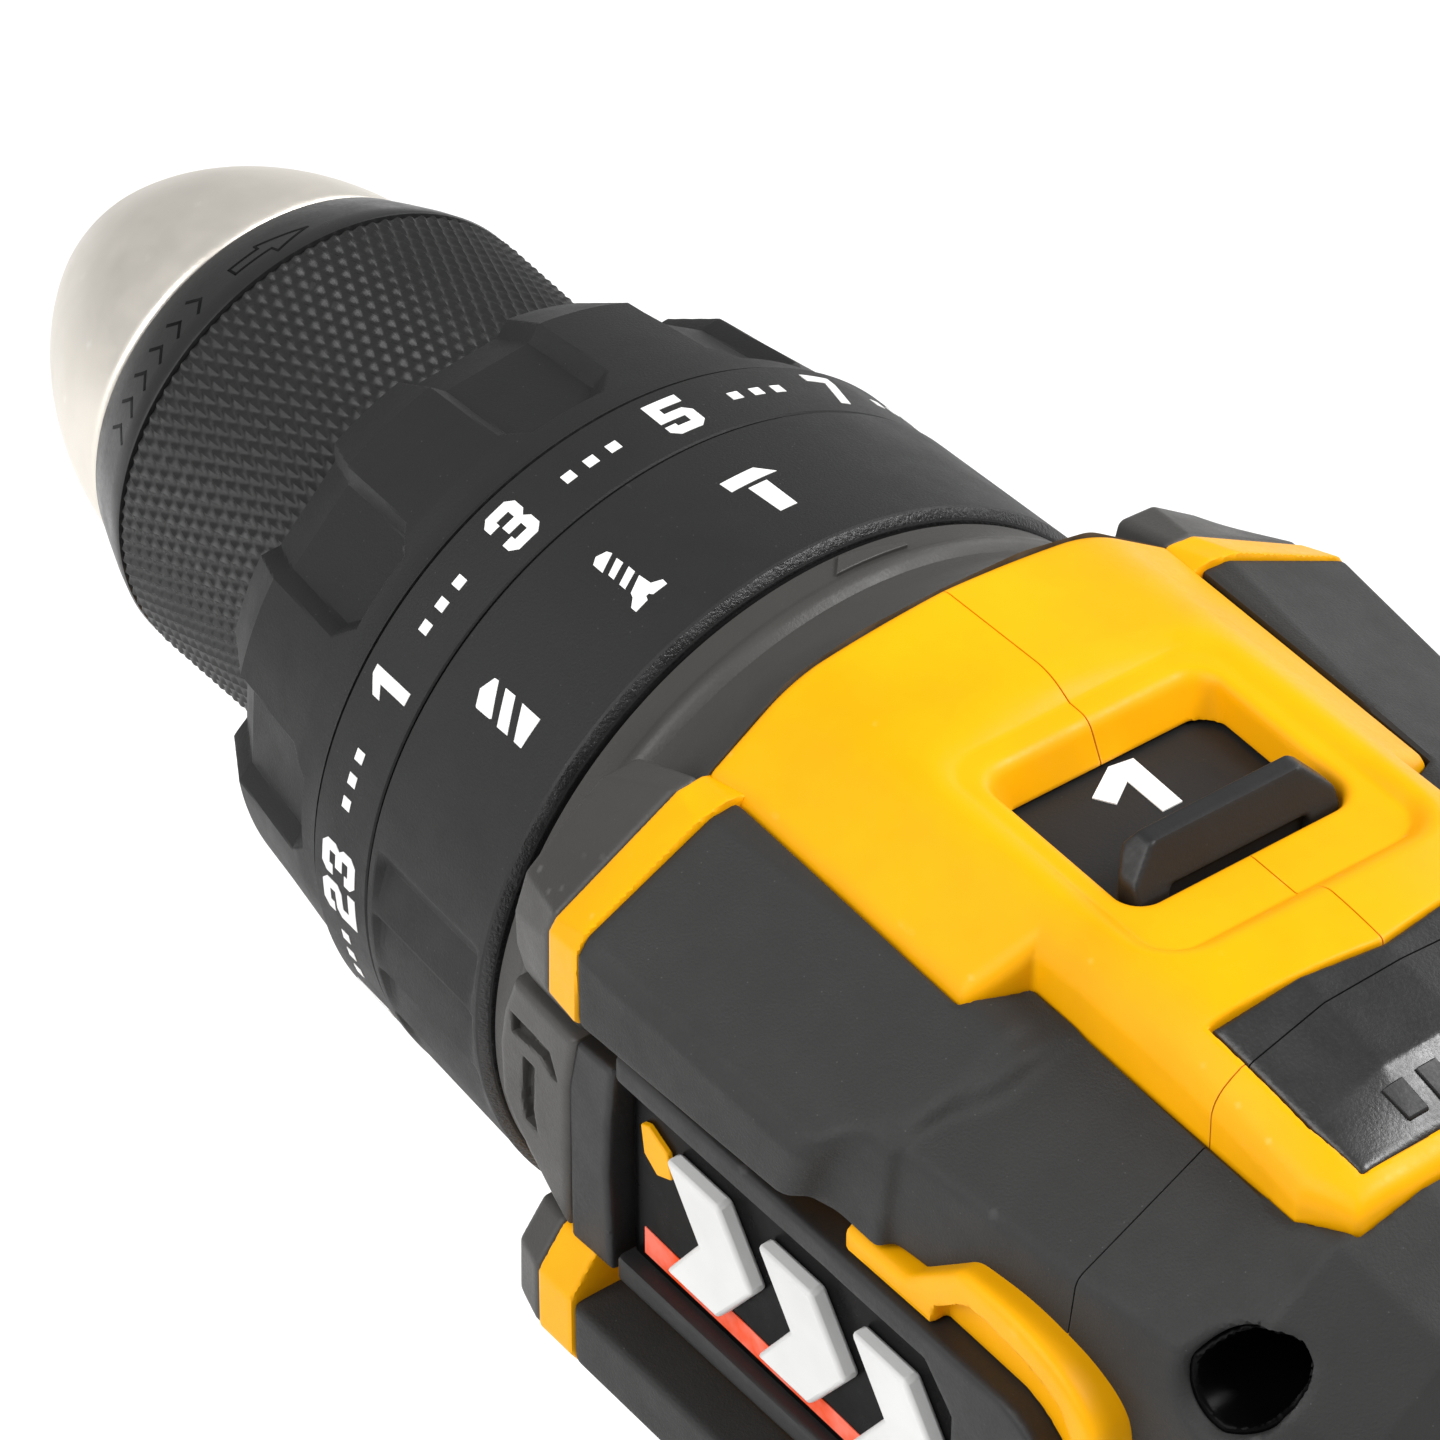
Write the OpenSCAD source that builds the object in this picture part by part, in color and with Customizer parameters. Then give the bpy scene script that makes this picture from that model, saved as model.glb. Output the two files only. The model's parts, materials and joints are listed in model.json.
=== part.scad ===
// Cordless combi drill with a keyless chuck, a two-speed planetary gearbox,
// a brushless motor and a slide-off battery pack.
// +X points out of the chuck, +Y is the operator's left, +Z is up.
// The origin is the centre of the pack's flat bottom face.

/* [Frame] */
// Height of the drive axis above the surface the drill stands on
axis_h = 180; // [178:1:182]
// Distance from the pack's centre forward to the border between the two collars
border_x = 60; // [58:1:62]

/* [Chuck] */
// Outer radius of the knurled sleeve
sleeve_r = 21; // [20.9:0.1:21.3]
// Radius of the bit hole, half the chuck's capacity
bit_r = 6.5; // [6.3:0.1:6.5]
// Radius of a jaw
jaw_r = 3.1; // [2.9:0.1:3.1]
// Tilt of the jaws to the drive axis, in degrees
jaw_tilt = 15; // [14:0.5:15]
// Travel of a jaw along its own axis, from open to closed
jaw_travel = 22.6; // [20:0.2:22.6]

/* [Collars] */
// Outer radius of the collars where they meet
collar_r = 31; // [30.5:0.1:31]
// Length of the torque collar
torque_len = 27; // [26:0.5:27]
// Length of the mode ring
mode_len = 16.6; // [16:0.1:16.6]
// Number of finger scoops round the torque collar
scoops = 9; // [6:1:12]

/* [Gearbox] */
// Gear module
gear_m = 0.8; // [0.8]
// Teeth of each sun gear
sun_t = 15; // [15]
// Teeth of each planet gear
planet_t = 15; // [15]
// Teeth taken off each gear's thickness at the pitch circle, in mm
backlash = 0.12; // [0.1:0.01:0.16]
// Travel of the speed selector
selector_travel = 9.5; // [9:0.5:9.5]

/* [Motor] */
// Outer radius of the stator
stator_r = 25; // [24:0.5:25]
// Radius of the rotor with its magnets
rotor_r = 14.5; // [14:0.1:14.5]
// Number of fan blades
fan_blades = 11; // [7:1:13]

/* [Housing] */
// Wall thickness of the housing shells
wall = 2.6; // [2.4:0.1:2.8]
// Width of the handle across the shells
handle_w = 33; // [32:0.5:34]
// Thickness of the rubber over the shells
rubber = 1.5; // [1.2:0.1:1.6]

/* [Battery] */
// Length of the pack
pack_len = 112; // [110:1:114]
// Width of the pack
pack_w = 75; // [74:1:76]
// Radius of a cell
cell_r = 9.1; // [9:0.05:9.15]
// Length of a cell
cell_len = 65; // [65]

/* [Fasteners] */
// Radius of a housing screw's shank
screw_r = 1.45; // [1.4:0.05:1.5]
// Radius of a housing screw's head
screw_head_r = 2.9; // [2.7:0.1:3]

/* [Hidden] */

$fn = 72;
eps = 0.01;
// Running clearance between a shaft and its bore
run = 0.05;
// Gap between pieces that pass each other freely
gap = 0.3;

// ---- placing ----

// Children drawn round +Z are laid along the drive axis, starting at ax
module along(ax = 0) {
    translate([border_x + ax, 0, axis_h]) rotate([0, 90, 0]) children();
}

// A body of revolution on the drive axis from [ax, r] points
module turned(points) {
    along() rotate_extrude() polygon([for (p = points) [p[1], p[0]]]);
}

// A tube on the drive axis between two stations
module tube(ax0, ax1, r_in, r_out) {
    along(ax0) difference() {
        cylinder(r = r_out, h = ax1 - ax0);
        translate([0, 0, -1]) cylinder(r = r_in, h = ax1 - ax0 + 2);
    }
}

// A disc on the drive axis between two stations
module disc(ax0, ax1, r) {
    along(ax0) cylinder(r = r, h = ax1 - ax0);
}

// Children drawn in the Y-Z plane about the drive axis, extruded between two stations
module section(ax0, ax1) {
    translate([border_x + ax0, 0, axis_h]) rotate([90, 0, 90])
        linear_extrude(ax1 - ax0) children();
}

// A box between two corners, with x and z measured from the drive axis border
module axis_box(ax, y, z) {
    translate([border_x + ax[0], y[0], axis_h + z[0]])
        cube([ax[1] - ax[0], y[1] - y[0], z[1] - z[0]]);
}

// A box between two corners in the frame
module box(x, y, z) {
    translate([x[0], y[0], z[0]]) cube([x[1] - x[0], y[1] - y[0], z[1] - z[0]]);
}

// A cylinder along +Y from y0 to y1
module cross_pin(x, z, y0, y1, r) {
    translate([x, y0, z]) rotate([-90, 0, 0]) cylinder(r = r, h = y1 - y0);
}

// Keeps the left (1) or right (-1) half
module half(side) {
    intersection() {
        children();
        translate([-150, side > 0 ? 0 : -100, -10]) cube([400, 100, 260]);
    }
}

// Copies children to both sides of the middle plane
module both_sides() {
    children();
    mirror([0, 1, 0]) children();
}

// Four upright rounded corners between z0 and z1, used inside a hull
module corner_posts(x, y, z0, z1, r) {
    for (cx = [x[0] + r, x[1] - r], cy = [y[0] + r, y[1] - r])
        translate([cx, cy, z0]) cylinder(r = r, h = z1 - z0, $fn = 32);
}

// ---- gears ----

ring_t = sun_t + 2 * planet_t;
orbit_r = gear_m * (sun_t + planet_t) / 2;
ring_out_r = 24.4;
pressure = 20;
stub = 0.8;

// Angle swept by an involute at the radius ratio k, in degrees
function involute(k) = k <= 1 ? 0 : sqrt(k * k - 1) * 180 / PI - acos(1 / k);

// Half the angle of a tooth at radius r on a gear of t teeth
function half_tooth(t, r, thin) =
    let (pitch = gear_m * t / 2, base = pitch * cos(pressure))
    90 / t - thin / pitch * 90 / PI + involute(pitch / base) - involute(max(r, base) / base);

// Outline of an outside gear with a tooth on +X
module gear_outline(t, thin) {
    pitch = gear_m * t / 2;
    root = pitch - gear_m;
    radii = [root, pitch * cos(pressure) + 0.05, pitch, pitch + stub * gear_m];
    polygon([for (i = [0 : t - 1]) each concat(
        [for (r = radii) let (a = 360 * i / t - half_tooth(t, r, thin))
            [r * cos(a), r * sin(a)]],
        [for (k = [3 : -1 : 0]) let (r = radii[k], a = 360 * i / t + half_tooth(t, r, thin))
            [r * cos(a), r * sin(a)]])]);
}

// Outline of the hole in an inside gear, with a tooth space on +X
module ring_outline() {
    pitch = gear_m * ring_t / 2;
    radii = [pitch - stub * gear_m, pitch, pitch + 0.95 * gear_m];
    polygon([for (i = [0 : ring_t - 1]) each concat(
        [for (r = radii) let (a = 360 * i / ring_t - half_tooth(ring_t, r, -backlash))
            [r * cos(a), r * sin(a)]],
        [for (k = [2 : -1 : 0])
            let (r = radii[k], a = 360 * i / ring_t + half_tooth(ring_t, r, -backlash))
            [r * cos(a), r * sin(a)]])]);
}

// A ring gear between two stations
module ring_gear(ax0, ax1) {
    difference() {
        disc(ax0, ax1, ring_out_r);
        along(ax0 - 1) linear_extrude(ax1 - ax0 + 2) ring_outline();
    }
}

// A planet gear at the angle turn round the axis
module planet(ax0, ax1, turn) {
    along(ax0) rotate(turn) translate([orbit_r, 0, 0]) difference() {
        linear_extrude(ax1 - ax0) gear_outline(planet_t, backlash);
        translate([0, 0, -1]) cylinder(r = planet_pin_r + run, h = ax1 - ax0 + 2, $fn = 32);
    }
}

// Stations of the planets of each stage, from motor to spindle
stage_1 = [-58.8, -52.4];
stage_2 = [-46.2, -38.0];
stage_3 = [-33.4, -27.2];
planet_pin_r = 2;
carrier_r = 14.8;

// Pins of a carrier, standing backwards from the station ax1
module carrier_pins(ax0, ax1) {
    for (turn = [0, 120, 240])
        along(ax0) rotate(turn) translate([orbit_r, 0, 0])
            cylinder(r = planet_pin_r, h = ax1 - ax0 + 0.5, $fn = 32);
}

// A sun gear with a tooth on the first planet
module sun(ax0, ax1) {
    along(ax0) linear_extrude(ax1 - ax0) gear_outline(sun_t, backlash);
}

module planet_1a() { color("silver") planet(stage_1[0], stage_1[1], 0); }
module planet_1b() { color("silver") planet(stage_1[0], stage_1[1], 120); }
module planet_1c() { color("silver") planet(stage_1[0], stage_1[1], 240); }
module planet_2a() { color("silver") planet(stage_2[0], stage_2[1], 0); }
module planet_2b() { color("silver") planet(stage_2[0], stage_2[1], 120); }
module planet_2c() { color("silver") planet(stage_2[0], stage_2[1], 240); }
module planet_3a() { color("silver") planet(stage_3[0], stage_3[1], 0); }
module planet_3b() { color("silver") planet(stage_3[0], stage_3[1], 120); }
module planet_3c() { color("silver") planet(stage_3[0], stage_3[1], 240); }

module ring_gear_1() { color("dimgray") ring_gear(-59.4, -51.8); }

// The clutch ring carries ramps on its front face for the clutch pins
module clutch_ring_gear() {
    color("dimgray") difference() {
        ring_gear(-34, -25.6);
        for (turn = [30 : 60 : 330])
            along(-26.6) rotate(turn) translate([clutch_pin_orbit, 0, 0])
                cylinder(r = 2.4, h = 2, $fn = 32);
    }
}

// First carrier, with outside teeth that the shift ring slides over in high gear
module carrier_1() {
    color("gray") union() {
        disc(-51.2, -47.2, carrier_r);
        along(-50.2) linear_extrude(3) gear_outline(ring_t, backlash * 2);
        carrier_pins(stage_1[0], -51.2);
        sun(-47.7, stage_2[1]);
    }
}

module carrier_2() {
    color("gray") union() {
        disc(-37.4, -34.6, carrier_r);
        carrier_pins(stage_2[0], -37.4);
        sun(-35.1, stage_3[1]);
    }
}

module output_carrier() {
    color("gray") difference() {
        union() {
            disc(-26.6, -24.2, carrier_r);
            carrier_pins(stage_3[0], -26.6);
        }
        along(-27) cylinder(r = 5, h = 4);
    }
}

// ---- gear shift ----

shift_arm = 9;
fork_arm = 19.4;
fork_tilt = asin(selector_travel / 2 / fork_arm);
shift_mid = -43.2;
// In low gear the shift ring sits this far ahead of its middle place
ring_shift = shift_arm * sin(fork_tilt);
fork_leg_y = 27.7;
fork_wire_r = 0.8;

module shift_ring() {
    groove_w = 2.2;
    color("dimgray") translate([ring_shift, 0, 0]) difference() {
        ring_gear(shift_mid - 4, shift_mid + 4);
        tube(shift_mid - groove_w / 2, shift_mid + groove_w / 2, ring_out_r - 2, ring_out_r + 1);
    }
}

// Places children on the fork's pivot line, tilted as it rests in low gear
module on_fork() {
    translate([border_x + shift_mid, 0, axis_h + shift_arm]) rotate([0, -fork_tilt, 0])
        children();
}

// A wire between two points in the fork's own plane
module wire(p, q, r) {
    d = q - p;
    translate(p) rotate([0, acos(d[2] / norm(d)), atan2(d[1], d[0])])
        cylinder(r = r, h = norm(d), $fn = 24);
    translate(q) sphere(r = r * 1.1, $fn = 24);
}

// Bent wire that turns the selector's stroke into the ring's shorter, opposite one
module shift_fork() {
    bar = [0, 12, fork_arm];
    knee = [0, fork_leg_y, 5];
    foot = [0, fork_leg_y, -shift_arm];
    tip = [0, ring_out_r - 0.9, -shift_arm];
    color("silver") on_fork() difference() {
        union() {
            wire([0, -12, bar[2]], bar, fork_wire_r);
            both_sides() {
                wire(bar, knee, fork_wire_r);
                wire(knee, foot, fork_wire_r);
                wire(foot, tip, fork_wire_r);
                translate([0, fork_leg_y - 0.9, 0]) rotate([-90, 0, 0]) cylinder(r = 2.6, h = 1.8);
            }
        }
        translate([0, -40, 0]) rotate([-90, 0, 0]) cylinder(r = pivot_r + run, h = 80);
    }
}

pivot_r = 1.2;

// Slider with its grip ridge, and two lugs that carry the fork's top bar
module speed_selector() {
    plate_top = 33.6;
    bar_ax = shift_mid - fork_arm * sin(fork_tilt);
    color("dimgray") union() {
        axis_box([-77, -44.4], [-12, 12], [plate_top - 1.6, plate_top]);
        axis_box([-66.2, -60.8], [-9.4, 9.4], [plate_top - eps, plate_top + 4.4]);
        section(-66.2, -60.8) polygon([[-9.4, 38], [-6.4, 40.4], [6.4, 40.4], [9.4, 38]]);
        for (side = [-1, 1])
            axis_box([bar_ax + side * 2.1 - 0.8, bar_ax + side * 2.1 + 0.8], [-5, 5],
                     [27, plate_top - 1]);
    }
}

// ---- chuck ----

chuck_back = 28.5;
sleeve_front = 55.9;
nose_tip = 77;
nose_arc_r = 34.66;
nose_arc_ax = 52;
nose_arc_off = -16;
thread_r = 6.35;
closed_tip = 80.5;
closed_face = 0.75;
jaw_len = 29.8;
// Radial distance of a closed jaw's axis at its tip
jaw_tip_r = 2.75;
body_r = 19.7;
// Bottom of the bit hole, in front of the screw's head
bore_back = 53.2;
nut_r = 17.35;

function nose_r(ax) = nose_arc_off + sqrt(nose_arc_r * nose_arc_r - pow(ax - nose_arc_ax, 2));

// Frame of a jaw: +Z runs forward along the jaw's axis, from the closed tip
module on_jaw(turn) {
    along() rotate(turn) translate([jaw_tip_r, 0, closed_tip]) rotate([0, -jaw_tilt, 0])
        children();
}

module jaw(turn) {
    back_off = [jaw_travel * sin(jaw_tilt), 0, -jaw_travel * cos(jaw_tilt)];
    face_half = closed_face * tan(60) - 0.25;
    color("darkgray") along() rotate(turn) translate(back_off) intersection() {
        translate([jaw_tip_r, 0, closed_tip]) rotate([0, -jaw_tilt, 0])
            translate([0, 0, -jaw_len]) cylinder(r = jaw_r, h = jaw_len);
        translate([0, 0, 40]) linear_extrude(closed_tip - 40.8)
            polygon([[closed_face, -face_half], [closed_face, face_half],
                     [30, 30 * tan(60) - 0.25], [30, -30 * tan(60) + 0.25]]);
    }
}

module jaw_1() { jaw(0); }
module jaw_2() { jaw(120); }
module jaw_3() { jaw(240); }

module chuck_body() {
    color("lightgray") difference() {
        turned(concat(
            [[chuck_back, thread_r + 0.02], [chuck_back, body_r], [50.2, body_r],
             [50.2, nut_r - run], [51.6, nut_r - run], [51.6, 12.4], [56, 12.4],
             [56, nose_r(57)]],
            [for (i = [0 : 10]) let (ax = 57 + (nose_tip - 57) * i / 10) [ax, nose_r(ax)]],
            [[nose_tip, bit_r], [bore_back, bit_r], [bore_back, 4.8], [50, 4.8], [50, 3.2],
             [46.6, 3.2], [46.6, thread_r + 0.02]]));
        for (turn = [0, 120, 240])
            on_jaw(turn) translate([0, 0, -70]) cylinder(r = jaw_r + 0.08, h = 90);
    }
}

// Left-hand screw that holds the chuck on the spindle
module chuck_screw() {
    color("silver") difference() {
        union() {
            disc(36, 50, 2.5);
            disc(50, 53, 4.6);
        }
        along(51.2) cylinder(r = 2, h = 3, $fn = 6);
    }
}

module chuck_sleeve() {
    color("dimgray") turned([[chuck_back, 19.75], [chuck_back, 20.2], [29.5, sleeve_r],
        [48.5, sleeve_r + 0.2], [55.2, 18.9], [sleeve_front, 18.4], [sleeve_front, nut_r],
        [50.4, nut_r], [50.4, 19.75]]);
}

// Ring nut that drives the jaws, split so that it can be fitted
module jaw_nut() {
    color("goldenrod") difference() {
        turned([[51.7, 14], [51.7, nut_r], [55.7, nut_r], [55.7, 12.95]]);
        axis_box([50, 57], [-30, 30], [-0.15, 0.15]);
    }
}

// ---- spindle ----

spindle_r = 7.5;

module spindle() {
    color("silver") difference() {
        turned([[-26.6, 0], [-26.6, 5], [-24.2, 5], [-24.2, spindle_r], [28.3, spindle_r],
                [28.3, thread_r], [46.3, thread_r], [46.3, 0]]);
        along(35) cylinder(r = 2.52, h = 12);
    }
}

// A ball bearing's two races, joined by its shields
module bearing(ax0, ax1, r_in, r_out) {
    mid = (r_in + r_out) / 2;
    face = 0.5;
    turned([[ax0, r_in], [ax0, mid - 1], [ax0 + face, mid - 1], [ax0 + face, mid + 1],
            [ax0, mid + 1], [ax0, r_out], [ax1, r_out], [ax1, mid + 1],
            [ax1 - face, mid + 1], [ax1 - face, mid - 1], [ax1, mid - 1], [ax1, r_in]]);
}

// Face ratchet of the hammer action
module ratchet(ax0, ax1, tooth_ax0, tooth_ax1) {
    union() {
        tube(ax0, ax1, spindle_r + 0.3, 12.38);
        intersection() {
            tube(tooth_ax0, tooth_ax1, spindle_r + 0.3, 11.5);
            for (turn = [0 : 30 : 330])
                along(tooth_ax0) rotate(turn) translate([9.5, 0, 0.6])
                    cube([5, 2.4, 2], center = true);
        }
    }
}

module hammer_ratchet_fixed() { color("gray") ratchet(-4, -1, -1 - eps, -0.2); }

module hammer_ratchet_turning() {
    color("gray") difference() {
        mirror_ratchet();
        disc(-1, 6, spindle_r);
    }
}

// The turning ratchet faces backwards
module mirror_ratchet() {
    union() {
        tube(2.4, 5, spindle_r - 0.1, 11.5);
        intersection() {
            tube(1.4, 2.4 + eps, spindle_r - 0.1, 11.5);
            for (turn = [0 : 30 : 330])
                along(1.4) rotate(turn) translate([9.5, 0, 0.6])
                    cube([5, 2.4, 2], center = true);
        }
    }
}

// ---- clutch and collars ----

clutch_pin_orbit = 21.4;
clutch_pin_r = 1.6;
nose_tube_r = 18.9;
drum_r = 27.45;
nut_ax = [4, 9.5];
washer_ax = [-15.4, -13.9];

module clutch_pins() {
    color("silver") for (turn = [30 : 60 : 330])
        along(-26.4) rotate(turn) translate([clutch_pin_orbit, 0, 0])
            cylinder(r = clutch_pin_r, h = 11, $fn = 32);
}

module clutch_washer() {
    color("silver") tube(washer_ax[0], washer_ax[1], nose_tube_r + 0.3, 25);
}

// Coil spring between the washer and the nut, as stacked turns
module clutch_spring() {
    turns = 5;
    wire_r = 1.2;
    pitch = (nut_ax[0] - washer_ax[1] - 2 * wire_r) / (turns - 1);
    color("gray") union() {
        for (i = [0 : turns - 1])
            along(washer_ax[1] + wire_r + i * pitch) rotate_extrude()
                translate([22.3, 0]) circle(r = wire_r, $fn = 24);
        for (i = [0 : turns - 2])
            along(washer_ax[1] + wire_r + i * pitch) rotate(i * 90) translate([22.3, 0, 0])
                cylinder(r = wire_r * 0.8, h = pitch, $fn = 24);
    }
}

module clutch_nut() {
    color("gray") union() {
        tube(nut_ax[0], nut_ax[1], nose_tube_r + run, 24.8);
        for (turn = [45 : 90 : 315])
            along(nut_ax[0]) rotate(turn) translate([22, -2, 0]) cube([4.4, 4, 5.5]);
    }
}

module torque_collar() {
    front_ax = torque_len;
    // Flank of the collar, from the border to the front chamfer
    outside = [[0.15, collar_r], [7.6, 30.7], [9, 30], [12, 29.6], [18, 28.6], [22.6, 28],
               [front_ax, 25]];
    color("dimgray") difference() {
        turned(concat([[0.15, 27]], outside,
            [[front_ax, nose_tube_r + run], [21, nose_tube_r + run], [21, 25.2], [0.15, 25.2]]));
        for (i = [0 : scoops - 1])
            along() rotate(90 + 83.2 + 40 * i) translate([31.2, 0, 17]) rotate([0, 4, 0])
                scoop();
        for (turn = [45 : 90 : 315])
            along(-1) rotate(turn) translate([22, -2.3, 0]) cube([5, 4.6, 16]);
    }
}

// Finger scoop, wide at the front and tapering towards the numbers
module scoop() {
    rotate([0, 90, 0]) linear_extrude(5.4, center = true)
        polygon([[-12, -5.6], [-3, -5.6], [3.4, -6.2], [7, -3.4], [7, 3.4], [3.4, 6.2],
                 [-3, 5.6], [-12, 5.6]]);
}

module mode_ring() {
    back = -mode_len;
    color("dimgray") difference() {
        turned([[back, drum_r + run], [back, 30.6], [back + 1.4, 31.9], [-0.15, collar_r],
                [-0.15, drum_r + run]]);
        // Grip grooves on both flanks
        both_sides() for (turn = [10 : 9 : 46])
            along(back - 1) rotate(turn + 50) translate([31.2, -1.2, 0]) cube([3, 2.4, 14]);
    }
}

// ---- gear case ----

case_r = 26.4;
front_ring_r = 32.1;

module gear_case() {
    boss_y = [case_r - 2.6, 26.7];
    color([0.3, 0.3, 0.29]) difference() {
        union() {
            disc(-62, -24, case_r);
            disc(-31, -21.2, front_ring_r - 0.2);
            turned([[-22, 0], [-22, front_ring_r - 0.2], [-20.5, front_ring_r], [-19.6, 31.4],
                    [-19.6, 0]]);
            disc(-19.7, -1.2, drum_r);
            disc(-19.7, 23.4, nose_tube_r);
            both_sides() {
                section(-31, -21.3) polygon([[28, -8], [33.4, -4], [34, 2], [34, 9], [33.2, 11.6],
                                             [28, 12]]);
                cross_pin(border_x + shift_mid, axis_h + shift_arm, boss_y[0], boss_y[1], 2.4);
                cross_pin(border_x + shift_mid, axis_h + shift_arm, boss_y[0], 28.7, pivot_r);
            }
        }
        along(-63) cylinder(r = ring_out_r + 0.05, h = 39);
        along(-18.1) difference() {
            cylinder(r = drum_r - 1.5, h = 30);
            translate([0, 0, -1]) cylinder(r = nose_tube_r, h = 50);
        }
        along(-25) cylinder(r = spindle_r + 0.6, h = 60);
        along(-17) cylinder(r = 10.5, h = 7);
        along(-10) cylinder(r = 12.4, h = 24);
        along(14) cylinder(r = 14, h = 20);
        for (turn = [30 : 60 : 330])
            along(-25) rotate(turn) translate([clutch_pin_orbit, 0, 0])
                cylinder(r = clutch_pin_r + run, h = 8, $fn = 32);
        both_sides() axis_box([shift_mid - 4.4, shift_mid + 4.4], [18, case_r + 0.1], [-1.6, 1.4]);
    }
}

module motor_plate() {
    color("dimgray") difference() {
        union() {
            disc(-65.4, -62, case_r);
            disc(-62.1, -59.8, ring_out_r - 0.05);
        }
        along(-66) cylinder(r = 8, h = 4.2);
        along(-66) cylinder(r = 6.8, h = 8);
    }
}

// ---- motor ----

stack = [-96, -78];
shaft_r = 2.5;

// The spindle's ball bearing and bush, and the motor's two ball bearings
module bearings() {
    color("silver") {
        bearing(14, 22, spindle_r + run, 14);
        tube(-17, -10, spindle_r + run, 10.5);
        bearing(-65.4, -61.8, shaft_r + run, 8);
        bearing(-108.2, -104.4, shaft_r + run, 6.5);
    }
}

module motor_shaft() {
    color("silver") union() {
        disc(-108.2, stage_1[0] - 0.6, shaft_r);
        sun(stage_1[0] - 0.6, stage_1[1]);
    }
}

module rotor_core() {
    color("gray") tube(stack[0], stack[1], shaft_r, 12.6);
}

module rotor_magnets() {
    color("dimgray") difference() {
        tube(stack[0], stack[1], 12.6, rotor_r);
        for (turn = [0, 90])
            along(stack[0] - 1) rotate(turn) translate([-20, -0.6, 0]) cube([40, 1.2, 22]);
    }
}

// The stator's bore and teeth, as a section
module stator() {
    color("slategray") difference() {
        disc(stack[0], stack[1], stator_r);
        along(stack[0] - 1) difference() {
            cylinder(r = 21.2, h = 20);
            for (turn = [0 : 60 : 300])
                rotate(turn) translate([15, -2.5, -1]) cube([8, 5, 22]);
            for (turn = [0 : 60 : 300])
                rotate(turn) translate([15, -5.6, -1]) cube([1.6, 11.2, 22]);
        }
        along(stack[0] - 2) cylinder(r = rotor_r + 0.7, h = 22);
    }
}

// One coil round each stator tooth
module windings() {
    color("darkorange") for (turn = [0 : 60 : 300])
        along(stack[0] - 2.6) rotate(turn) difference() {
            translate([16.8, -5, 0]) cube([3.6, 10, 23.2]);
            translate([16, -2.55, 2.55]) cube([6, 5.1, 18.1]);
        }
}

module fan() {
    fan_ax = [-74, -68.6];
    color("black") union() {
        tube(fan_ax[0], fan_ax[1], shaft_r, 6);
        tube(fan_ax[0], fan_ax[0] + 1, 5.9, 22);
        for (i = [0 : fan_blades - 1])
            along(fan_ax[0] + 0.9) rotate(i * 360 / fan_blades) translate([5, 0, 0])
                rotate(20) cube([17, 1, 4.5]);
    }
}

// ---- housing ----

// Half outline of the shells round the gearbox, as [y, z] from the drive axis
front_shell = [[0, 38.5], [14, 37], [21.8, 31.4], [34, 24.6], [34.4, 16], [32.2, 12],
               [32.2, -9], [34.2, -13.5], [34.2, -18], [30, -25], [21, -31], [0, -34]];
front_inside = [[0, 34.3], [13.4, 34.3], [20, 28.4], [30.6, 22.2], [31, 16], [29.4, 12],
                [29.4, -9], [30.6, -13.5], [30.6, -17], [27.4, -23], [19.4, -28.4], [0, -31]];
// Half outline round the motor
mid_shell = [[0, 38.5], [14, 36.2], [18, 32.4], [30.8, 24.2], [31.2, 8], [31, -18], [27, -24],
             [20, -30], [0, -33]];
rear_shell = [[0, 37.6], [11, 34.6], [15.4, 29.6], [26.4, 22.4], [27.6, 14], [27.6, -14],
              [22, -23], [16, -28], [0, -30]];
end_shell = [[0, 22], [9, 21], [14, 18], [19, 12], [20, 6], [20, -8], [15, -17], [10, -21],
             [0, -22]];

// Both halves of an outline
module mirrored(points) {
    polygon(concat(points, [for (i = [len(points) - 2 : -1 : 1]) [-points[i][0], points[i][1]]]));
}

// Thin slice of an outline at one station, used inside a hull
module slice(ax, points) {
    section(ax, ax + eps) mirrored(points);
}

// An outline drawn in by d on both axes, for the inside of a wall
function drawn_in(points, d) =
    [for (p = points) [max(0, p[0] - (p[0] > 0 ? d : 0)), p[1] - sign(p[1]) * d]];

shoulder_end = -62;
rear_start = -97;
body_back = -111.4;
handle_top = [[-17, 26], 150];
handle_low = [[-25, 15], 68];
foot_x = [-44, 47];
foot_z = [46.4, 70];
channel_z = [46.4, 59];

module body_outside() {
    section(shoulder_end, -31) mirrored(front_shell);
    axis_box([-84, shoulder_end + eps], [-32.2, 32.2], [-9, 12]);
    hull() {
        slice(shoulder_end, mid_shell);
        slice(rear_start, rear_shell);
        slice(body_back, end_shell);
    }
}

module body_inside() {
    section(shoulder_end - 0.2, -30) mirrored(front_inside);
    hull() {
        slice(shoulder_end, drawn_in(mid_shell, wall + 0.8));
        slice(rear_start, drawn_in(rear_shell, wall));
        slice(-108.4, drawn_in(end_shell, 1));
    }
}

// A handle that grows by grow all round
module handle_solid(grow, z0, z1) {
    half_w = handle_w / 2 + grow;
    intersection() {
        hull() {
            corner_posts([handle_top[0][0] - grow, handle_top[0][1] + grow], [-half_w, half_w],
                         handle_top[1], handle_top[1] + 1, 9 + grow);
            corner_posts([handle_low[0][0] - grow, handle_low[0][1] + grow], [-half_w, half_w],
                         handle_low[1] - 4, handle_low[1] - 3, 9 + grow);
        }
        box([-60, 60], [-40, 40], [z0, z1]);
    }
}

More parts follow.
